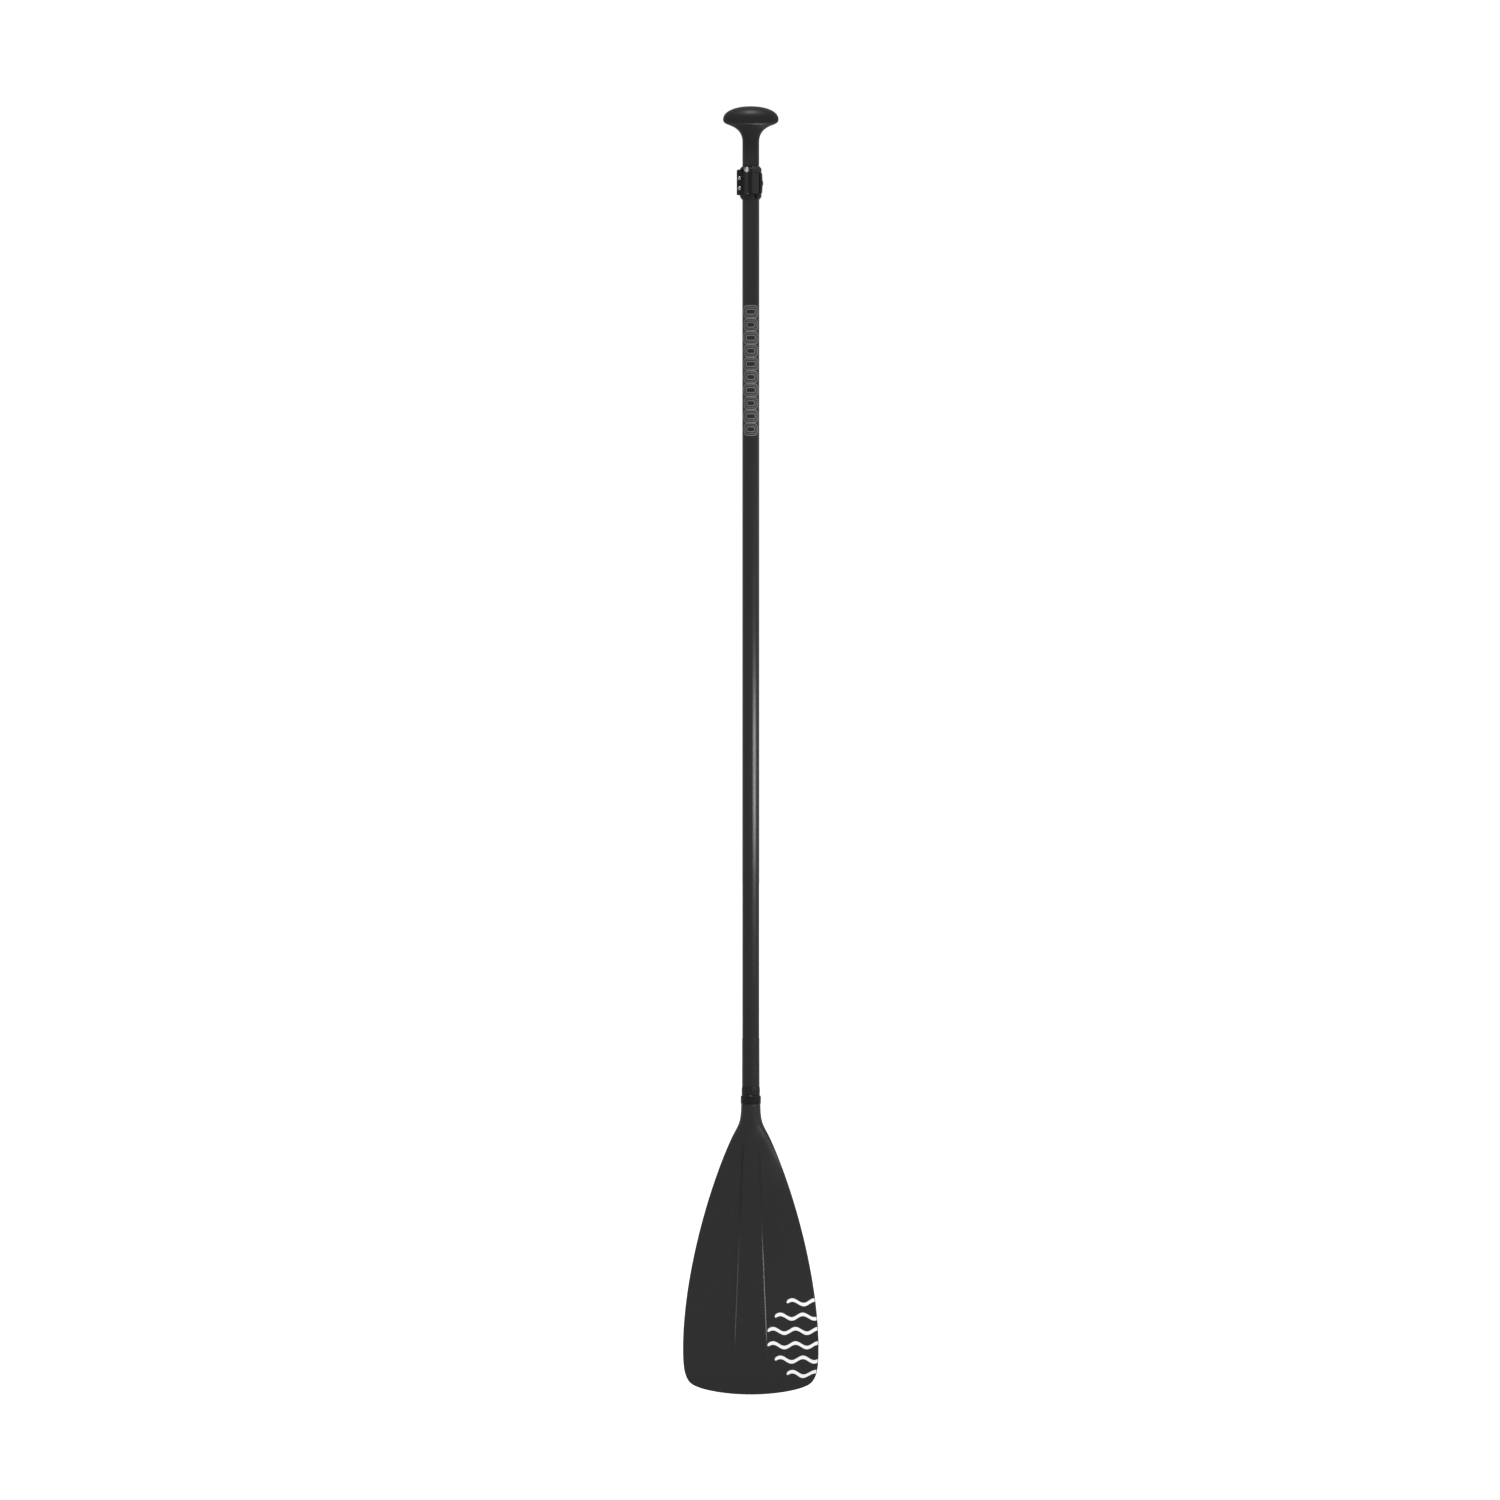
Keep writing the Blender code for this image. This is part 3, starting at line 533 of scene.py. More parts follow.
def make_grip():
    """Mushroom palm grip and its bored stem, in one moulding."""
    lip_z = up(1921.2 * MM)
    dome_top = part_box("palm_grip")[1].z
    rise = dome_top - lip_z
    power = 2.15        # a little squarer than an ellipse
    depth_ratio = GRIP_HALF_DEPTH / GRIP_HALF_WIDTH
    loops = [ring(0, dome_top)]
    dome_steps = 36
    for step in range(1, dome_steps + 1):
        angle = pi / 2 * (1 - step / dome_steps)
        radius = GRIP_HALF_WIDTH * cos(angle) ** (2 / power)
        z = lip_z + rise * sin(angle) ** (2 / power)
        loops.append(ring(radius, z, depth=radius * depth_ratio))
    shoulder = (31.2 * MM, up(1912.1 * MM))
    edge = GRIP_HALF_WIDTH
    lip = ((edge, lip_z), (edge, up(1915.3 * MM)), (36.0 * MM, up(1914.1 * MM)), shoulder)
    flare = (shoulder, (25.0 * MM, up(1909.5 * MM)), (STEM_R, up(1904.4 * MM)), (STEM_R, up(1887 * MM)))
    for radius, z in bezier(lip, 16) + bezier(flare, 28):
        loops.append(ring(radius, z, depth=grip_depth(z, lip_z)))
    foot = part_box("palm_grip")[0].z
    bore_r = EXTENSION_R + 0.25 * MM
    bore_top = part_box("extension_tube")[1].z + GAP
    mouth = [(STEM_R, foot + 0.6 * MM), (STEM_R - 0.1 * MM, foot + 0.3 * MM), (STEM_R - 0.35 * MM, foot)]
    mouth += [(bore_r + 0.25 * MM, foot), (bore_r, foot + 0.25 * MM), (bore_r, bore_top), (0, bore_top)]
    builder = add_skin(loops + [ring(radius, z) for radius, z in mouth])
    grip = finished("grip", builder, MATTE_GRIP, GRIP_BODY, ["palm_grip"], sharp=60)
    reshape(grip, [rivet_hole("grip_rivet")], sharp=60)


# --- clamp ---

CLAMP_SCREWS = ("clamp_screw_upper", "clamp_screw_lower")
RIM_R = 16.2 * MM
RIM_CHAMFER = 2.9 * MM
RIM_CHAMFER_HEIGHT = 4.0 * MM
RECESS_R = 15.8 * MM
PANEL_R = 16.6 * MM
COLLAR_BORE_R = SHAFT_R + GAP
LIP_R = EXTENSION_R + GAP
EAR_REACH = -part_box("clamp_collar")[0].x
EAR_FRONT = -7.0 * MM
EAR_BACK = 7.5 * MM
EAR_FOOT_Z = up(1806.7 * MM)
EAR_TOP_Z = up(1846 * MM)
SPLIT = 2 * MM
FLANK_X = -12.0 * MM
PILLOW_CENTRE = Vector((-6.6 * MM, -10.6 * MM))
PILLOW_R = 5.4 * MM
PILLOW_FRONT = 16.1 * MM
FACET_FOOT_Z = up(1841.0 * MM)        # above it the rib's front leans back
FACET_SLOPE = 0.62
FACET_CROWN_X = -5.8 * MM
FACET_CURVE = 42 * MM
PILLOW_FOOT_Z = up(1810 * MM)         # below it too, and more steeply
FOOT_SLOPE = 1.5
RIB_FOOT_Z = up(1806.5 * MM)
COLLAR_STEP_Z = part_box("main_shaft")[1].z + GAP
SEAM_Z = LEVER_TOP_Z + 0.7 * MM
NOTCH_X = 4.2 * MM
NOTCH_R = 4.7 * MM
NOTCH_TOP_Z = up(1808.8 * MM)
LEVER_INNER_R = 16.1 * MM
LEVER_OUTER_R = 17.7 * MM
RIDGE_R = 18.7 * MM

# Angles round the clamp run anticlockwise from +X, seen from above: -90 degrees is its front
LEVER_TIP = radians(-38)
LEVER_ROOT = radians(140)
RECESS_START = LEVER_TIP - radians(1.5)
RECESS_END = radians(144)
FLANK_ANGLE = radians(-149.5)
GROOVE_START = radians(-98.5)
GROOVE_END = radians(-84.3)
PANEL_END = radians(-41.5)


def within(value, low, high, soft):
    """1 between low and high, 0 outside, with soft shoulders."""
    rise = smooth(value, low - soft / 2, low + soft / 2)
    return rise * (1 - smooth(value, high - soft / 2, high + soft / 2))


def soft_max(a, b, reach):
    """The larger of two distances, with a fillet where they meet."""
    t = max(reach - abs(a - b), 0.0) / reach
    return max(a, b) + t * t * reach / 4


def soft_min(a, b, reach):
    """The smaller of two distances, with a rounded edge where they meet."""
    return -soft_max(-a, -b, reach)


def ear_reach(angle):
    """How far the ears' rounded outline lies from the shaft's axis in a direction."""
    cosine, sine = -cos(angle), sin(angle)
    if cosine <= 0.05:
        return 0.0
    side = EAR_BACK if sine > 0 else -EAR_FRONT
    power = 14.0
    return ((cosine / EAR_REACH) ** power + (abs(sine) / side) ** power) ** (-1 / power)


def pillow_radius(angle):
    """The collar's front left: a rounded rib, its left flank running straight back to the ears."""
    towards = Vector((cos(angle), sin(angle)))
    along = PILLOW_CENTRE.dot(towards)
    inside = PILLOW_R**2 - PILLOW_CENTRE.length_squared + along**2
    on_rib = along + sqrt(inside) if inside > 0 else 0.0
    flank = FLANK_X / towards.x if towards.x < 0 else RIM_R
    beside_rib = towards.x * on_rib < FLANK_X * 0.998 or inside <= 0 and angle < radians(-120)
    return flank if beside_rib else max(on_rib, RIM_R - 1.2 * MM)


def pillow_end(angle, z):
    """How far out the rib may reach: its top and its foot lean back in curved facets."""
    from_crown = RIM_R * cos(angle) - FACET_CROWN_X
    lean = FACET_SLOPE * max(z - FACET_FOOT_Z, 0.0) + FOOT_SLOPE * max(PILLOW_FOOT_Z - z, 0.0)
    top_rounding = 0.9 * max(z - CLAMP_TOP_Z + MM, 0.0) ** 2 / MM
    front = PILLOW_FRONT - lean - top_rounding - from_crown**2 / FACET_CURVE
    return front / max(-sin(angle), 0.2)


def collar_radius(angle, z):
    """Outer radius of the clamp's collar."""
    from_end = min(z - CLAMP_FOOT_Z, CLAMP_TOP_Z - z)
    slope = RIM_CHAMFER * (1 - min(from_end / RIM_CHAMFER_HEIGHT, 1.0)) ** 1.15
    blur = radians(1.6)
    half_mm = 0.5 * MM
    lever_span = within(z, LEVER_FOOT_Z - 0.2 * MM, LEVER_TOP_Z + 0.2 * MM, half_mm)
    recess = within(angle, RECESS_START, RECESS_END, blur) * lever_span
    radius = RIM_R - slope - (RIM_R - RECESS_R) * recess
    rib = within(angle, FLANK_ANGLE, GROOVE_START, blur)
    thinnest = COLLAR_BORE_R + 0.3 * MM if z < COLLAR_STEP_Z else LIP_R + 0.5 * MM
    valley = RIM_R - slope - 0.6 * MM - FACET_SLOPE * max(z - FACET_FOOT_Z, 0.0)
    pillow = soft_min(pillow_radius(angle), pillow_end(angle, z), 0.4 * MM)
    pillow = soft_max(soft_max(pillow, valley, 0.5 * MM), thinnest, 0.5 * MM)
    radius += (pillow - radius) * rib
    panel = within(angle, GROOVE_END, PANEL_END, blur)
    radius += (PANEL_R - RIM_R) * panel * within(z, LEVER_FOOT_Z, LEVER_TOP_Z, half_mm)
    radius -= half_mm * panel * within(z, SEAM_Z - half_mm, SEAM_Z + half_mm, 0.4 * MM)
    groove = within(angle, GROOVE_START, GROOVE_END, blur)
    radius -= 1.2 * MM * groove * within(z, CLAMP_FOOT_Z + 4.5 * MM, CLAMP_TOP_Z + 2 * MM, MM)
    radius -= 3 * MM * groove * smooth(z, CLAMP_TOP_Z - 3.6 * MM, CLAMP_TOP_Z - 1.2 * MM)
    radius = max(radius, thinnest)
    ear = ear_reach(angle)
    ear_end = 0.9 * MM
    inset = 1 - (1 - within(z, EAR_FOOT_Z + ear_end / 2, EAR_TOP_Z - ear_end / 2, ear_end)) ** 2
    corner_height = 3.0 * MM
    corner = max(0.0, corner_height - (EAR_TOP_Z - z)) / corner_height
    ear -= 1.6 * MM * corner**2
    return soft_max(radius, radius + (ear - radius) * inset, 1.2 * MM) if ear > radius else radius


def clustered(low, high, spacing, marks, reach, fine):
    """Values from low to high, close together about the marks."""
    values = list(np.arange(low, high, spacing)) + [high]
    for mark in marks:
        values += list(np.arange(mark - reach, mark + reach + fine / 2, fine))
    values = sorted(v for v in values if low <= v <= high)
    kept = [values[0]]
    for value in values[1:]:
        if value - kept[-1] > fine * 0.6:
            kept.append(value)
    kept[-1] = high
    return kept


def screw_holes(radius, start, end, sides):
    """Bars where the two clamp screws go."""
    bars = []
    for node in CLAMP_SCREWS:
        bars.append(along_y(rod(radius, start, end, sides), PIVOT.x, middle_z(node)))
    return bars


def make_collar():
    """Split collar: each column is an upright section, its outside following collar_radius."""
    z_marks = [CLAMP_FOOT_Z, CLAMP_FOOT_Z + RIM_CHAMFER_HEIGHT, EAR_FOOT_Z + 0.4 * MM, LEVER_FOOT_Z,
               LEVER_TOP_Z, SEAM_Z, EAR_TOP_Z - 0.4 * MM, FACET_FOOT_Z, PILLOW_FOOT_Z,
               CLAMP_TOP_Z - RIM_CHAMFER_HEIGHT, CLAMP_TOP_Z]
    reach, fine = 0.8 * MM, 0.16 * MM
    rows = clustered(CLAMP_FOOT_Z, CLAMP_TOP_Z, 0.6 * MM, z_marks, reach, fine)
    for low, high in ((FACET_FOOT_Z, CLAMP_TOP_Z), (PILLOW_FOOT_Z - 4 * MM, PILLOW_FOOT_Z)):
        rows += clustered(low, high, 0.22 * MM, [], reach, fine)[1:-1]
    rows.sort()
    rows = [low for low, high in zip(rows, rows[1:]) if high - low > 0.05 * MM] + [CLAMP_TOP_Z]
    edge = radians(2.4)
    angle_marks = [GROOVE_START, GROOVE_END, PANEL_END, RECESS_START]
    angle_marks += [FLANK_ANGLE, -pi + radians(20), pi - radians(22)]
    angles = clustered(-pi, pi, radians(2.2), angle_marks, edge, radians(0.5))
    angles = [a for a in angles if abs(a) < pi]
    ears = clustered(-pi, -pi + radians(36), radians(1.0), [], edge, radians(0.4))
    rib = clustered(FLANK_ANGLE, GROOVE_END, radians(0.6), [], edge, radians(0.4))
    angles = sorted(set(angles + ears + [-a for a in ears] + rib))
    inside = [(LIP_R + 0.3 * MM, CLAMP_TOP_Z), (LIP_R, CLAMP_TOP_Z - 0.3 * MM), (LIP_R, COLLAR_STEP_Z)]
    inside += [(COLLAR_BORE_R, COLLAR_STEP_Z), (COLLAR_BORE_R, CLAMP_FOOT_Z + 0.3 * MM)]
    inside.append((COLLAR_BORE_R + 0.3 * MM, CLAMP_FOOT_Z))
    loops = []
    for angle in angles:
        outside = [(collar_radius(angle, z), z) for z in rows]
        loop = []
        for radius, z in outside + inside:
            turn = angle / pi * (pi - asin(SPLIT / 2 / radius))
            loop.append(polar(radius, turn, z))
        loops.append(loop)
    builder = add_skin(loops, capped=True)
    replaced = ["clamp_collar"]
    collar = finished("collar", builder, GLOSS_CLAMP, SHAFT_BODY, replaced, sharp=40)
    arch_z = NOTCH_TOP_Z - NOTCH_R
    front, back = -20 * MM, -8 * MM
    holes = [along_y(rod(NOTCH_R, front, back, 64), NOTCH_X, arch_z)]
    low_corner = (NOTCH_X - NOTCH_R, front, CLAMP_FOOT_Z - 5 * MM)
    holes.append(block(low_corner, (NOTCH_X + NOTCH_R, back, arch_z)))
    reshape(collar, holes + screw_holes(1.8 * MM, front, 20 * MM, 32), sharp=40)
    collar.data.materials.append(MATTE_CLAMP)
    collar.data.materials.append(RIB_PAINTED_SHEEN)
    for polygon in collar.data.polygons:
        x, y, z = polygon.center
        angle = atan2(y, x)
        on_panel = GROOVE_END < angle < PANEL_END and z > LEVER_FOOT_Z
        on_shoulder = GROOVE_END < angle < radians(30) and z > LEVER_TOP_Z + 0.4 * MM
        if (on_panel or on_shoulder) and hypot(x, y) > COLLAR_BORE_R + 0.2 * MM:
            polygon.material_index = 1
        # Forward-facing faces of the rib take the painted sheen
        on_rib = FLANK_ANGLE < angle < GROOVE_START and polygon.normal.y < -0.3
        if on_rib and z > RIB_FOOT_Z and hypot(x, y) > COLLAR_BORE_R:
            polygon.material_index = 2


def lever_wall():
    """The lever's curved wall: a rounded section swept round the collar, with a thumb ridge."""
    height = LEVER_TOP_Z - LEVER_FOOT_Z
    middle = 0.5 * (LEVER_OUTER_R + LEVER_INNER_R)
    steps = 110
    loops = []
    rows = clustered(0.0, height, 1.5 * MM, [0.0, height], 0.9 * MM, 0.15 * MM)
    for i in range(steps + 1):
        angle = LEVER_TIP + (LEVER_ROOT - LEVER_TIP) * i / steps
        tip_round = eased((angle - LEVER_TIP) * LEVER_OUTER_R, MM)
        loop = []
        for outer in (True, False):
            for z in rows if outer else reversed(rows):
                edge_round = eased(min(z, height - z), 0.8 * MM)
                full = 0.35 + 0.65 * sqrt(edge_round * tip_round)
                half = 0.5 * (LEVER_OUTER_R - LEVER_INNER_R) * full
                radius = middle + half if outer else middle - half
                if outer:
                    ridge = within(angle, radians(-15), radians(3), radians(9))
                    ridge *= within(z, height / 2 - 3.5 * MM, height / 2 + 3.5 * MM, 2.2 * MM)
                    radius += (RIDGE_R - LEVER_OUTER_R) * ridge
                    radius -= 0.4 * MM * abs(2 * z / height - 1) ** 3
                loop.append(polar(radius, angle, LEVER_FOOT_Z + z))
        loops.append(loop)
    return add_skin(loops, capped=True)


def knuckle(foot, top):
    """One cam of the lever: a barrel with rounded ends, its axis a little off the pivot's."""
    centre = (PIVOT.x + 0.7 * MM, PIVOT.y - 0.2 * MM)
    cam_r = 4.9 * MM
    corner = 0.5 * MM
    outline = [(0.0, foot), (cam_r - corner, foot)]
    for degrees in (22.5, 45, 67.5, 90):
        angle = radians(degrees)
        outline.append((cam_r - corner + corner * sin(angle), foot + corner - corner * cos(angle)))
    outline += [(r, foot + top - z) for r, z in reversed(outline[1:])] + [(0.0, top)]
    return turned_solid(outline, 64, centre)


def make_lever():
    """Cam lever: the curved wall and three knuckles webbed to it, bored for the pivot pin."""
    wall = lever_wall()
    lever = finished("lever", wall, LEVER_PLASTIC, LEVER_BODY, ["clamp_lever"], sharp=40)
    lower, upper = sorted(middle_z(node) for node in CLAMP_SCREWS)
    gap = 2.4 * MM
    spans = [(LEVER_FOOT_Z, lower - gap), (lower + gap, upper - gap), (upper + gap, LEVER_TOP_Z)]
    webs = []
    for foot, top in spans:
        low = (PIVOT.x + 0.7 * MM, 10.9 * MM, foot + 0.3 * MM)
        webs.append(block(low, (-12.0 * MM, PIVOT.y, top - 0.3 * MM)))
    reshape(lever, [knuckle(foot, top) for foot, top in spans] + webs, "UNION", sharp=40)
    bore = rod(2.7 * MM, LEVER_FOOT_Z - 5 * MM, LEVER_TOP_Z + 5 * MM, 48, (PIVOT.x, PIVOT.y))
    reshape(lever, [bore], sharp=40)


def make_pivot_pin():
    """Chamfered pin, cross-bored where the two clamp screws pass through it."""
    low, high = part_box("lever_pivot_pin")
    radius = (high.x - low.x) / 2
    chamfer = 0.4 * MM
    section = [(0.0, low.z), (radius - chamfer, low.z), (radius, low.z + chamfer)]
    section += [(radius, high.z - chamfer), (radius - chamfer, high.z), (0.0, high.z)]
    builder = turned_solid(section, 48, (PIVOT.x, PIVOT.y))
    pin = finished("pivot_pin", builder, STEEL, SHAFT_BODY, ["lever_pivot_pin"])
    reshape(pin, screw_holes(1.65 * MM, 5 * MM, 25 * MM, 28))


def make_screw(name, node):
    """M3 pan head screw with a cross recess."""
    low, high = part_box(node)
    z = middle_z(node)
    head_r = (high.x - low.x) / 2
    shank_r = 1.5 * MM
    front = low.y
    seat = front + 1.9 * MM
    section = [(0.0, front)]
    for step in range(1, 9):
        angle = radians(90 * step / 8)
        section.append((head_r * sin(angle) ** 0.8, front + MM * (1 - cos(angle))))
    section += [(head_r, seat - 0.1 * MM), (head_r - 0.1 * MM, seat), (shank_r, seat)]
    thread_pitch = 0.5 * MM
    y = seat + 2.0 * MM
    section.append((shank_r, y))
    while y < high.y - MM:
        section += [(shank_r - 0.22 * MM, y + thread_pitch / 2), (shank_r, y + thread_pitch)]
        y += thread_pitch
    section += [(shank_r - 0.4 * MM, high.y), (0.0, high.y)]
    builder = along_y(turned_solid(section, 40), PIVOT.x, z)
    screw = finished(name, builder, STEEL, SHAFT_BODY, [node])
    arms = []
    for half_x, half_z in ((1.65 * MM, 0.33 * MM), (0.33 * MM, 1.65 * MM)):
        low_corner = (PIVOT.x - half_x, front - MM, z - half_z)
        arms.append(block(low_corner, (PIVOT.x + half_x, front + 0.95 * MM, z + half_z)))
    reshape(screw, arms)


def make_washer(name, node):
    low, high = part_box(node)
    radius = (high.x - low.x) / 2
    bore = 1.7 * MM
    section = [(bore, low.y), (radius, low.y), (radius, high.y), (bore, high.y)]
    builder = along_y(turned_solid(rounded(section, 0.12 * MM, 3), 48), PIVOT.x, middle_z(node))
    finished(name, builder, BLACK_STEEL, SHAFT_BODY, [node])


# --- rings at the neck ---


def make_neck_pieces():
    """Chamfered ring, rubber seal and shrink sleeve over the joint of shaft and blade."""
    bore = SHAFT_R + GAP
    low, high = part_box("neck_ring")
    outer = high.x
    section = [(bore, low.z), (outer - 0.2 * MM, low.z), (outer, low.z + 0.3 * MM)]
    section += [(outer, high.z - 1.6 * MM), (outer - 1.2 * MM, high.z), (bore, high.z)]
    builder = turned_solid(rounded(section, 0.35 * MM))
    finished("ring", builder, GLOSS_CLAMP, SHAFT_BODY, ["neck_ring"])

    low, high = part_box("neck_seal")
    outer = high.x
    middle = (low.z + high.z) / 2
    side = outer - 0.15 * MM
    section = [(bore, low.z), (side, low.z), (side, middle - 3 * MM), (outer, middle)]
    section += [(side, middle + 3 * MM), (outer - 0.4 * MM, high.z), (bore, high.z)]
    builder = turned_solid(rounded(section, 0.4 * MM))
    finished("seal", builder, SEAL_RUBBER, SHAFT_BODY, ["neck_seal"])

    low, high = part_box("shrink_sleeve")
    inner = SHAFT_R + 0.08 * MM
    loops = []
    rows = clustered(low.z, high.z, 1.6 * MM, [low.z, high.z], 1.2 * MM, 0.2 * MM)
    for z in rows:
        swell = 0.12 * MM * (1 - smooth(z, low.z, high.z))
        end_round = eased(min(z - low.z, high.z - z), 0.4 * MM)
        loop = []
        for i in range(ROUND_SIDES):
            angle = 2 * pi * i / ROUND_SIDES
            ripple = 0.05 * MM * noise.noise(Vector(polar(1.4, angle, z / (9 * MM))))
            radius = inner + (0.27 * MM + swell + ripple) * (0.25 + 0.75 * end_round)
            loop.append(polar(radius, angle, z))
        loops.append(loop)
    loops += [ring(inner, high.z), ring(inner, low.z)]
    builder = add_skin(loops, ends_joined=True)
    finished("sleeve", builder, SLEEVE_RUBBER, SHAFT_BODY, ["shrink_sleeve"])


# --- blade ---

NECK_R = 14.7 * MM
SOCKET_FLOOR = 400 * MM
BLADE_CANT = radians(8)
CORNER = (86.5 * MM, 14.2 * MM)
SHOULDER = (29.8 * MM, 383.9 * MM)
EDGE_HALF_THICKNESS = 1.3 * MM
EDGE_ROUND = 1.5 * MM


def blade_side():
    """(half width, height) up the right edge, from the bottom corner to the neck."""
    widest = (BLADE_HALF_WIDTH, 70 * MM)
    corner = (CORNER, (100.2 * MM, 21.9 * MM), (BLADE_HALF_WIDTH, 40 * MM), widest)
    side = (widest, (BLADE_HALF_WIDTH, 169.2 * MM), (68.1 * MM, 299.4 * MM), SHOULDER)
    flare = (SHOULDER, (20.5 * MM, 404.4 * MM), (NECK_R, 404.6 * MM), (NECK_R, BLADE_TOP_Z - TIP_Z))
    return [CORNER] + bezier(corner, 16) + bezier(side, 60) + bezier(flare, 30)


def bottom_rise(u):
    """Height of the bottom edge at a share u of the half width between the corners."""
    return CORNER[1] * (0.8 * u**2 + 0.2 * u**8)


def spine_half_width(height):
    return 24 * MM - 14 * MM * (height - 55 * MM) / (330 * MM)


def spine_rise(height):
    return 1.6 * MM * smooth(height, 35 * MM, 95 * MM) * (1 - smooth(height, 375 * MM, 400 * MM))


def spine_share(x, height):
    """1 on top of the spine, 0 beside it, with rounded edges."""
    edge = spine_half_width(height)
    return 1 - smooth(abs(x), edge - 0.5 * MM, edge + 2.5 * MM)


def plate_half_thickness(u, height):
    above_corner = np.array((0, 25, 135, 265, 335)) * MM
    core = np.array((1.3, 2.5, 4.0, 6.0, 9.0)) * MM
    root = float(np.interp(height - CORNER[1], above_corner, core))
    return EDGE_HALF_THICKNESS + (root - EDGE_HALF_THICKNESS) * (1 - u**1.6)


def blade_middle_y(height):
    """The blade leans forwards below its socket."""
    drop = max(0.0, SOCKET_FLOOR - height)
    bend = 40 * MM
    if drop < bend:
        return -tan(BLADE_CANT) * drop * drop / (2 * bend)
    return -tan(BLADE_CANT) * (drop - bend / 2)


def blade_columns(half_width, height):
    """Distances from the middle line, close together along the spine's edges and the rim."""
    spine = spine_half_width(height)
    rim = min(3.5 * MM, 0.12 * half_width)
    slope = [spine + d * MM for d in (-1.0, -0.5, -0.1, 0.3, 0.7, 1.0, 1.3, 1.7, 2.1, 2.5, 3.1)]
    inner = [spine * t for t in (0.0, 0.25, 0.5, 0.75)]
    start, end = slope[-1], half_width - rim
    steps = 14
    outer = [start + (end - start) * sin(pi / 2 * s / steps) for s in range(1, steps + 1)]
    edge = [half_width - rim * (1 - t) ** 2 for t in (0.2, 0.35, 0.5, 0.62, 0.74, 0.85, 0.94, 1.0)]
    right = inner + slope + outer + edge
    return [-x for x in reversed(right[1:])] + right


def blade_rows():
    """(half width, height at the side) of each row, extra ones close to the bottom edge."""
    side = blade_side()
    start, after = side[0], side[1]
    extra = []
    for t in (0.02, 0.06, 0.12, 0.2, 0.3, 0.42, 0.56, 0.75):
        extra.append((start[0] + (after[0] - start[0]) * t, start[1] + (after[1] - start[1]) * t))
    return [start] + extra + side[1:]


def outline_distance(points):
    """Distance of each (x, height) point from the blade's outline, the neck's end left out."""
    right = blade_side()
    bottom = [(CORNER[0] * u, bottom_rise(abs(u))) for u in np.linspace(-1, 1, 400)]
    outline = np.array([(-w, h) for w, h in reversed(right)] + bottom + right)
    starts, ends = outline[:-1], outline[1:]
    along = ends - starts
    length = np.maximum((along**2).sum(1), 1e-18)
    distances = []
    for point in points:
        t = np.clip(((point - starts) * along).sum(1) / length, 0, 1)
        nearest = starts + along * t[:, None]
        distances.append(sqrt(((point - nearest) ** 2).sum(1).min()))
    return distances


def make_blade():
    """Spined blade with a bull-nosed rim and a round socket at its neck."""
    level_height = 150 * MM        # rows above it run straight across
    grid = []
    for half_width, side_height in blade_rows():
        fade = (1 - smooth(side_height, CORNER[1], level_height)) ** 2
        row = []
        for x in blade_columns(half_width, side_height):
            u = min(abs(x) / half_width, 1.0)
            height = side_height + fade * (bottom_rise(u) - CORNER[1])
            row.append((x, height, u, side_height))
        grid.append(row)
    flat = [np.array(point[:2]) for row in grid for point in row]
    rim_distance = iter(outline_distance(flat))
    builder = bmesh.new()
    fronts, backs = [], []
    for i, row in enumerate(grid):
        front, back = [], []
        for j, (x, height, u, side_height) in enumerate(row):
            distance = next(rim_distance)
            on_rim = i == 0 or j in (0, len(row) - 1)
            nose = 0.0 if on_rim else sqrt(max(0.0, eased(distance, EDGE_ROUND)))
            share = smooth(side_height, 335 * MM, 398 * MM)
            plate = plate_half_thickness(u, side_height) * nose
            neck = NECK_R * sqrt(max(0.0, 1 - u * u))
            half = share * neck + (1 - share) * plate
            half += spine_rise(side_height) * spine_share(x, side_height) * nose
            middle = blade_middle_y(height)
            near = builder.verts.new((x, middle - half, up(height)))
            front.append(near)
            back.append(near if on_rim else builder.verts.new((x, middle + half, up(height))))
        fronts.append(front)
        backs.append(back)
    for side in (fronts, backs):
        for low, high in zip(side, side[1:]):
            for i in range(len(low) - 1):
                corners = list(dict.fromkeys((low[i], low[i + 1], high[i + 1], high[i])))
                if len(corners) > 2 and not builder.faces.get(corners):
                    builder.faces.new(corners)
    neck = fronts[-1] + backs[-1][-2:0:-1]
    bore = SHAFT_R + GAP
    top = BLADE_TOP_Z
    socket = [(NECK_R - 0.5 * MM, top), (bore + 0.3 * MM, top), (bore, top - 0.3 * MM)]
    socket.append((bore, up(SOCKET_FLOOR)))
    previous = neck
    for radius, z in socket:
        angles = [atan2(vertex.co.y, vertex.co.x) for vertex in neck]
        loop = [builder.verts.new(polar(radius, angle, z)) for angle in angles]
        for i in range(len(neck)):
            j = (i + 1) % len(neck)
            builder.faces.new((previous[i], previous[j], loop[j], loop[i]))
        previous = loop
    builder.faces.new(previous)
    for vertex in neck:
        vertex.co.z -= 0.5 * MM
    replaced = ["blade"]
    blade = finished("blade_body", builder, BLADE_PLASTIC, SHAFT_BODY, replaced, sharp=50)
    reshape(blade, [rivet_hole("blade_rivet")], sharp=50)
    # Faces along the spine's edges, 240 to 390 mm up, get painted shade: the darker crease material
    blade.data.materials.append(SPINE_PAINTED_SHADE)
    for polygon in blade.data.polygons:
        height = polygon.center.z - TIP_Z
        from_spine = abs(polygon.center.x) - spine_half_width(height)
        if 240 * MM < height < 390 * MM and -0.6 * MM < from_spine < 2.9 * MM:
            polygon.material_index = 1
    return blade


def edge_x(height):
    """Half width of the blade at a height."""
    widths, heights = zip(*blade_side())
    return float(np.interp(height, heights, widths))


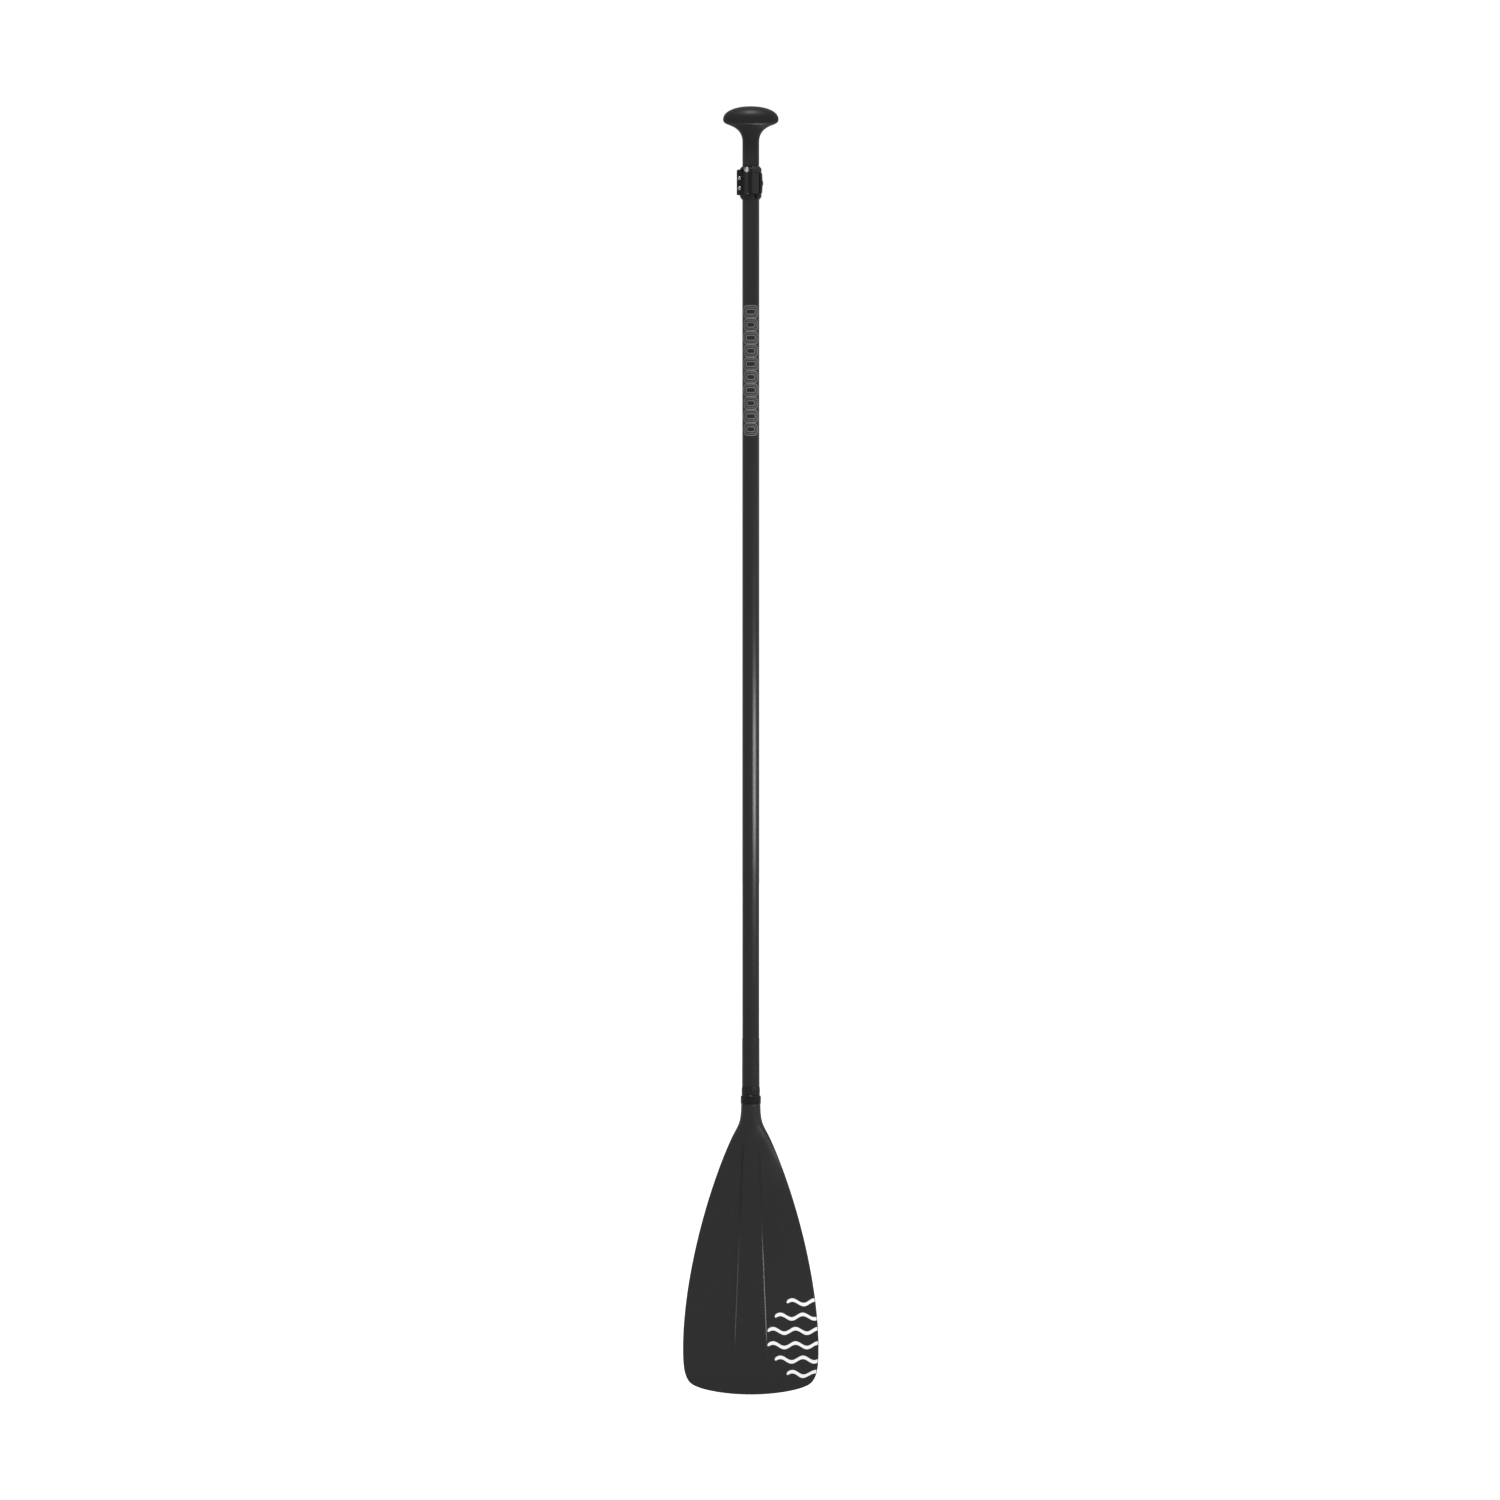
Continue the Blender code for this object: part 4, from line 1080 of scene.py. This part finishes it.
def make_blade_print(blade):
    """Wavy stripes that run off the lower right edge of the blade's front."""
    tree = BVHTree.FromObject(blade, bpy.context.evaluated_depsgraph_get())
    stroke = 5.2 * MM
    lowest = 31 * MM
    pitch = 21.5 * MM
    starts = (54, 36, 25, 25, 36, 54)
    rim = 1.2 * MM
    wave = 3.4 * MM
    wave_length = 34 * MM
    builder = bmesh.new()
    samples = 60
    for i, start_mm in enumerate(starts):
        middle = lowest + pitch * i
        start = start_mm * MM
        end = edge_x(middle) - rim
        loops = []
        for sample in range(samples + 1):
            t = sample / samples
            x = start + (end - start) * t
            centre = middle + wave * sin(2 * pi * (x - start) / wave_length)
            half = stroke / 2 * sqrt(max(eased(x - start, stroke / 2), 0.004))
            loop = []
            for side in (-1, -0.34, 0.34, 1):
                height = centre + side * half
                x = start + (edge_x(height) - rim - start) * t
                hit = tree.ray_cast(Vector((x, -0.5, up(height))), Vector((0, 1, 0)))[0]
                loop.append((x, hit.y, up(height)))
            front = [(x, y - 0.08 * MM, z) for x, y, z in loop]
            loops.append(front + [(x, y + 0.08 * MM, z) for x, y, z in reversed(loop)])
        add_skin(loops, builder, capped=True)
    finished("blade_print", builder, PRINT_WHITE, SHAFT_BODY)


# --- studio ---


def lamp(name, azimuth, elevation, distance, height, size, power, beam=180.0):
    """A soft light aimed at the shaft's axis at a height; azimuth is to the right of the camera."""
    data = bpy.data.lights.new(name, "AREA")
    data.shape = "RECTANGLE"
    data.size, data.size_y = size
    data.energy = power
    data.spread = radians(beam)
    light = add_object(name, data)
    turn, lift = radians(azimuth), radians(elevation)
    towards = Vector((sin(turn) * cos(lift), -cos(turn) * cos(lift), sin(lift)))
    light.location = Vector((0, 0, height)) + towards * distance
    light.rotation_euler = towards.to_track_quat("Z", "Y").to_euler()
    light.visible_camera = False


def make_studio():
    """Pale floor that runs into a pale surround, a strip light at the right, and smaller lights."""
    world = bpy.data.worlds.new("studio")
    bpy.context.scene.world = world
    world.use_nodes = True
    tree = world.node_tree
    seen = tree.nodes["Background"]
    feed(tree, seen, {"Color": grey(1.0), "Strength": 1.02})
    lit = add_node(tree, "Background", {"Color": grey(1.0), "Strength": 0.4})
    camera_ray = add_node(tree, "LightPath").outputs["Is Camera Ray"]
    mix_shaders(tree, camera_ray, lit.outputs["Background"], seen.outputs["Background"], "World Output")

    builder = bmesh.new()
    bmesh.ops.create_circle(builder, cap_ends=True, segments=96, radius=120.0)
    bmesh.ops.translate(builder, vec=(0, 0, TIP_Z - 0.5 * MM), verts=builder.verts)
    paint = bpy.data.materials.new("pale floor")
    paint.use_nodes = True
    tree = paint.node_tree
    shader = tree.nodes["Principled BSDF"]
    feed(tree, shader, {"Base Color": grey(0.9), "Roughness": 0.9, "Specular IOR Level": 0.1})
    feed(tree, shader, {"Emission Color": grey(1.0), "Emission Strength": 0.9})
    behind = add_node(tree, "NewGeometry").outputs["Backfacing"]
    clear = add_node(tree, "BsdfTransparent")
    mix_shaders(tree, behind, shader.outputs["BSDF"], clear.outputs["BSDF"], "Material Output")
    floor = finished("floor", builder, paint)
    for polygon in floor.data.polygons:
        if polygon.normal.z < 0:
            polygon.flip()
    floor.visible_diffuse = False
    floor.visible_glossy = False

    grip_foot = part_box("palm_grip")[0].z
    lower_blade = up(112 * MM)
    lamp("right strip light", 51.0, 0.0, 1.2, up(905 * MM), (1.3, 0.28), 1.3, beam=66.0)
    lamp("overhead light", 0.0, 66.0, 2.0, grip_foot, (0.35, 0.6), 15.5)
    lamp("low right light", 80.0, -80.0, 1.0, grip_foot, (0.06, 0.06), 0.13, beam=30.0)
    lamp("blade right light", 77.0, 12.0, 0.5, lower_blade, (0.08, 0.15), 0.031, beam=36.0)
    lamp("blade left light", -77.0, 12.0, 0.5, lower_blade, (0.08, 0.15), 0.009, beam=36.0)


def make_camera():
    """Level long lens view of the printed side, the whole paddle in a square frame."""
    frame_height = 2262 * MM
    data = bpy.data.cameras.new("camera")
    data.sensor_width = 36.0
    data.lens = 500.0        # a long lens, for a nearly parallel view
    data.clip_end = 300.0
    distance = frame_height / 2 / (data.sensor_width / 2 / data.lens)
    camera = add_object("camera", data)
    camera.location = (-1.2 * MM, -distance, up(970.4 * MM))
    camera.rotation_euler = (pi / 2, 0, 0)
    bpy.context.scene.camera = camera


def paint_hidden_nodes():
    """CAD nodes that stay as they are, inside the tubes or behind the cams."""
    finishes = {"guide_bush": BUSH_GREY, "shaft_foam_plug": FOAM_WHITE,
                "shaft_end_bung": SEAL_RUBBER, "cam_plate": STEEL}
    for name, material in finishes.items():
        node = frame["nodes"][name]
        for slot in node.material_slots:
            slot.material = material
        if not node.material_slots:
            node.data.materials.append(material)
        bevel = node.modifiers.new("broken edges", "BEVEL")
        bevel.width = 0.15 * MM
        bevel.segments = 2
        bevel.limit_method = "ANGLE"


make_tubes()
make_shaft_print()
make_length_marks()
make_rivet("rivet_in_grip", "grip_rivet", GRIP_BODY)
make_rivet("rivet_in_blade", "blade_rivet", SHAFT_BODY)
make_grip()
make_collar()
make_lever()
make_pivot_pin()
for position in ("upper", "lower"):
    make_screw(f"screw_{position}", f"clamp_screw_{position}")
    make_washer(f"washer_{position}", f"screw_washer_{position}")
make_neck_pieces()
make_blade_print(make_blade())
paint_hidden_nodes()
make_studio()
make_camera()
bpy.context.scene.view_settings.view_transform = "Standard"
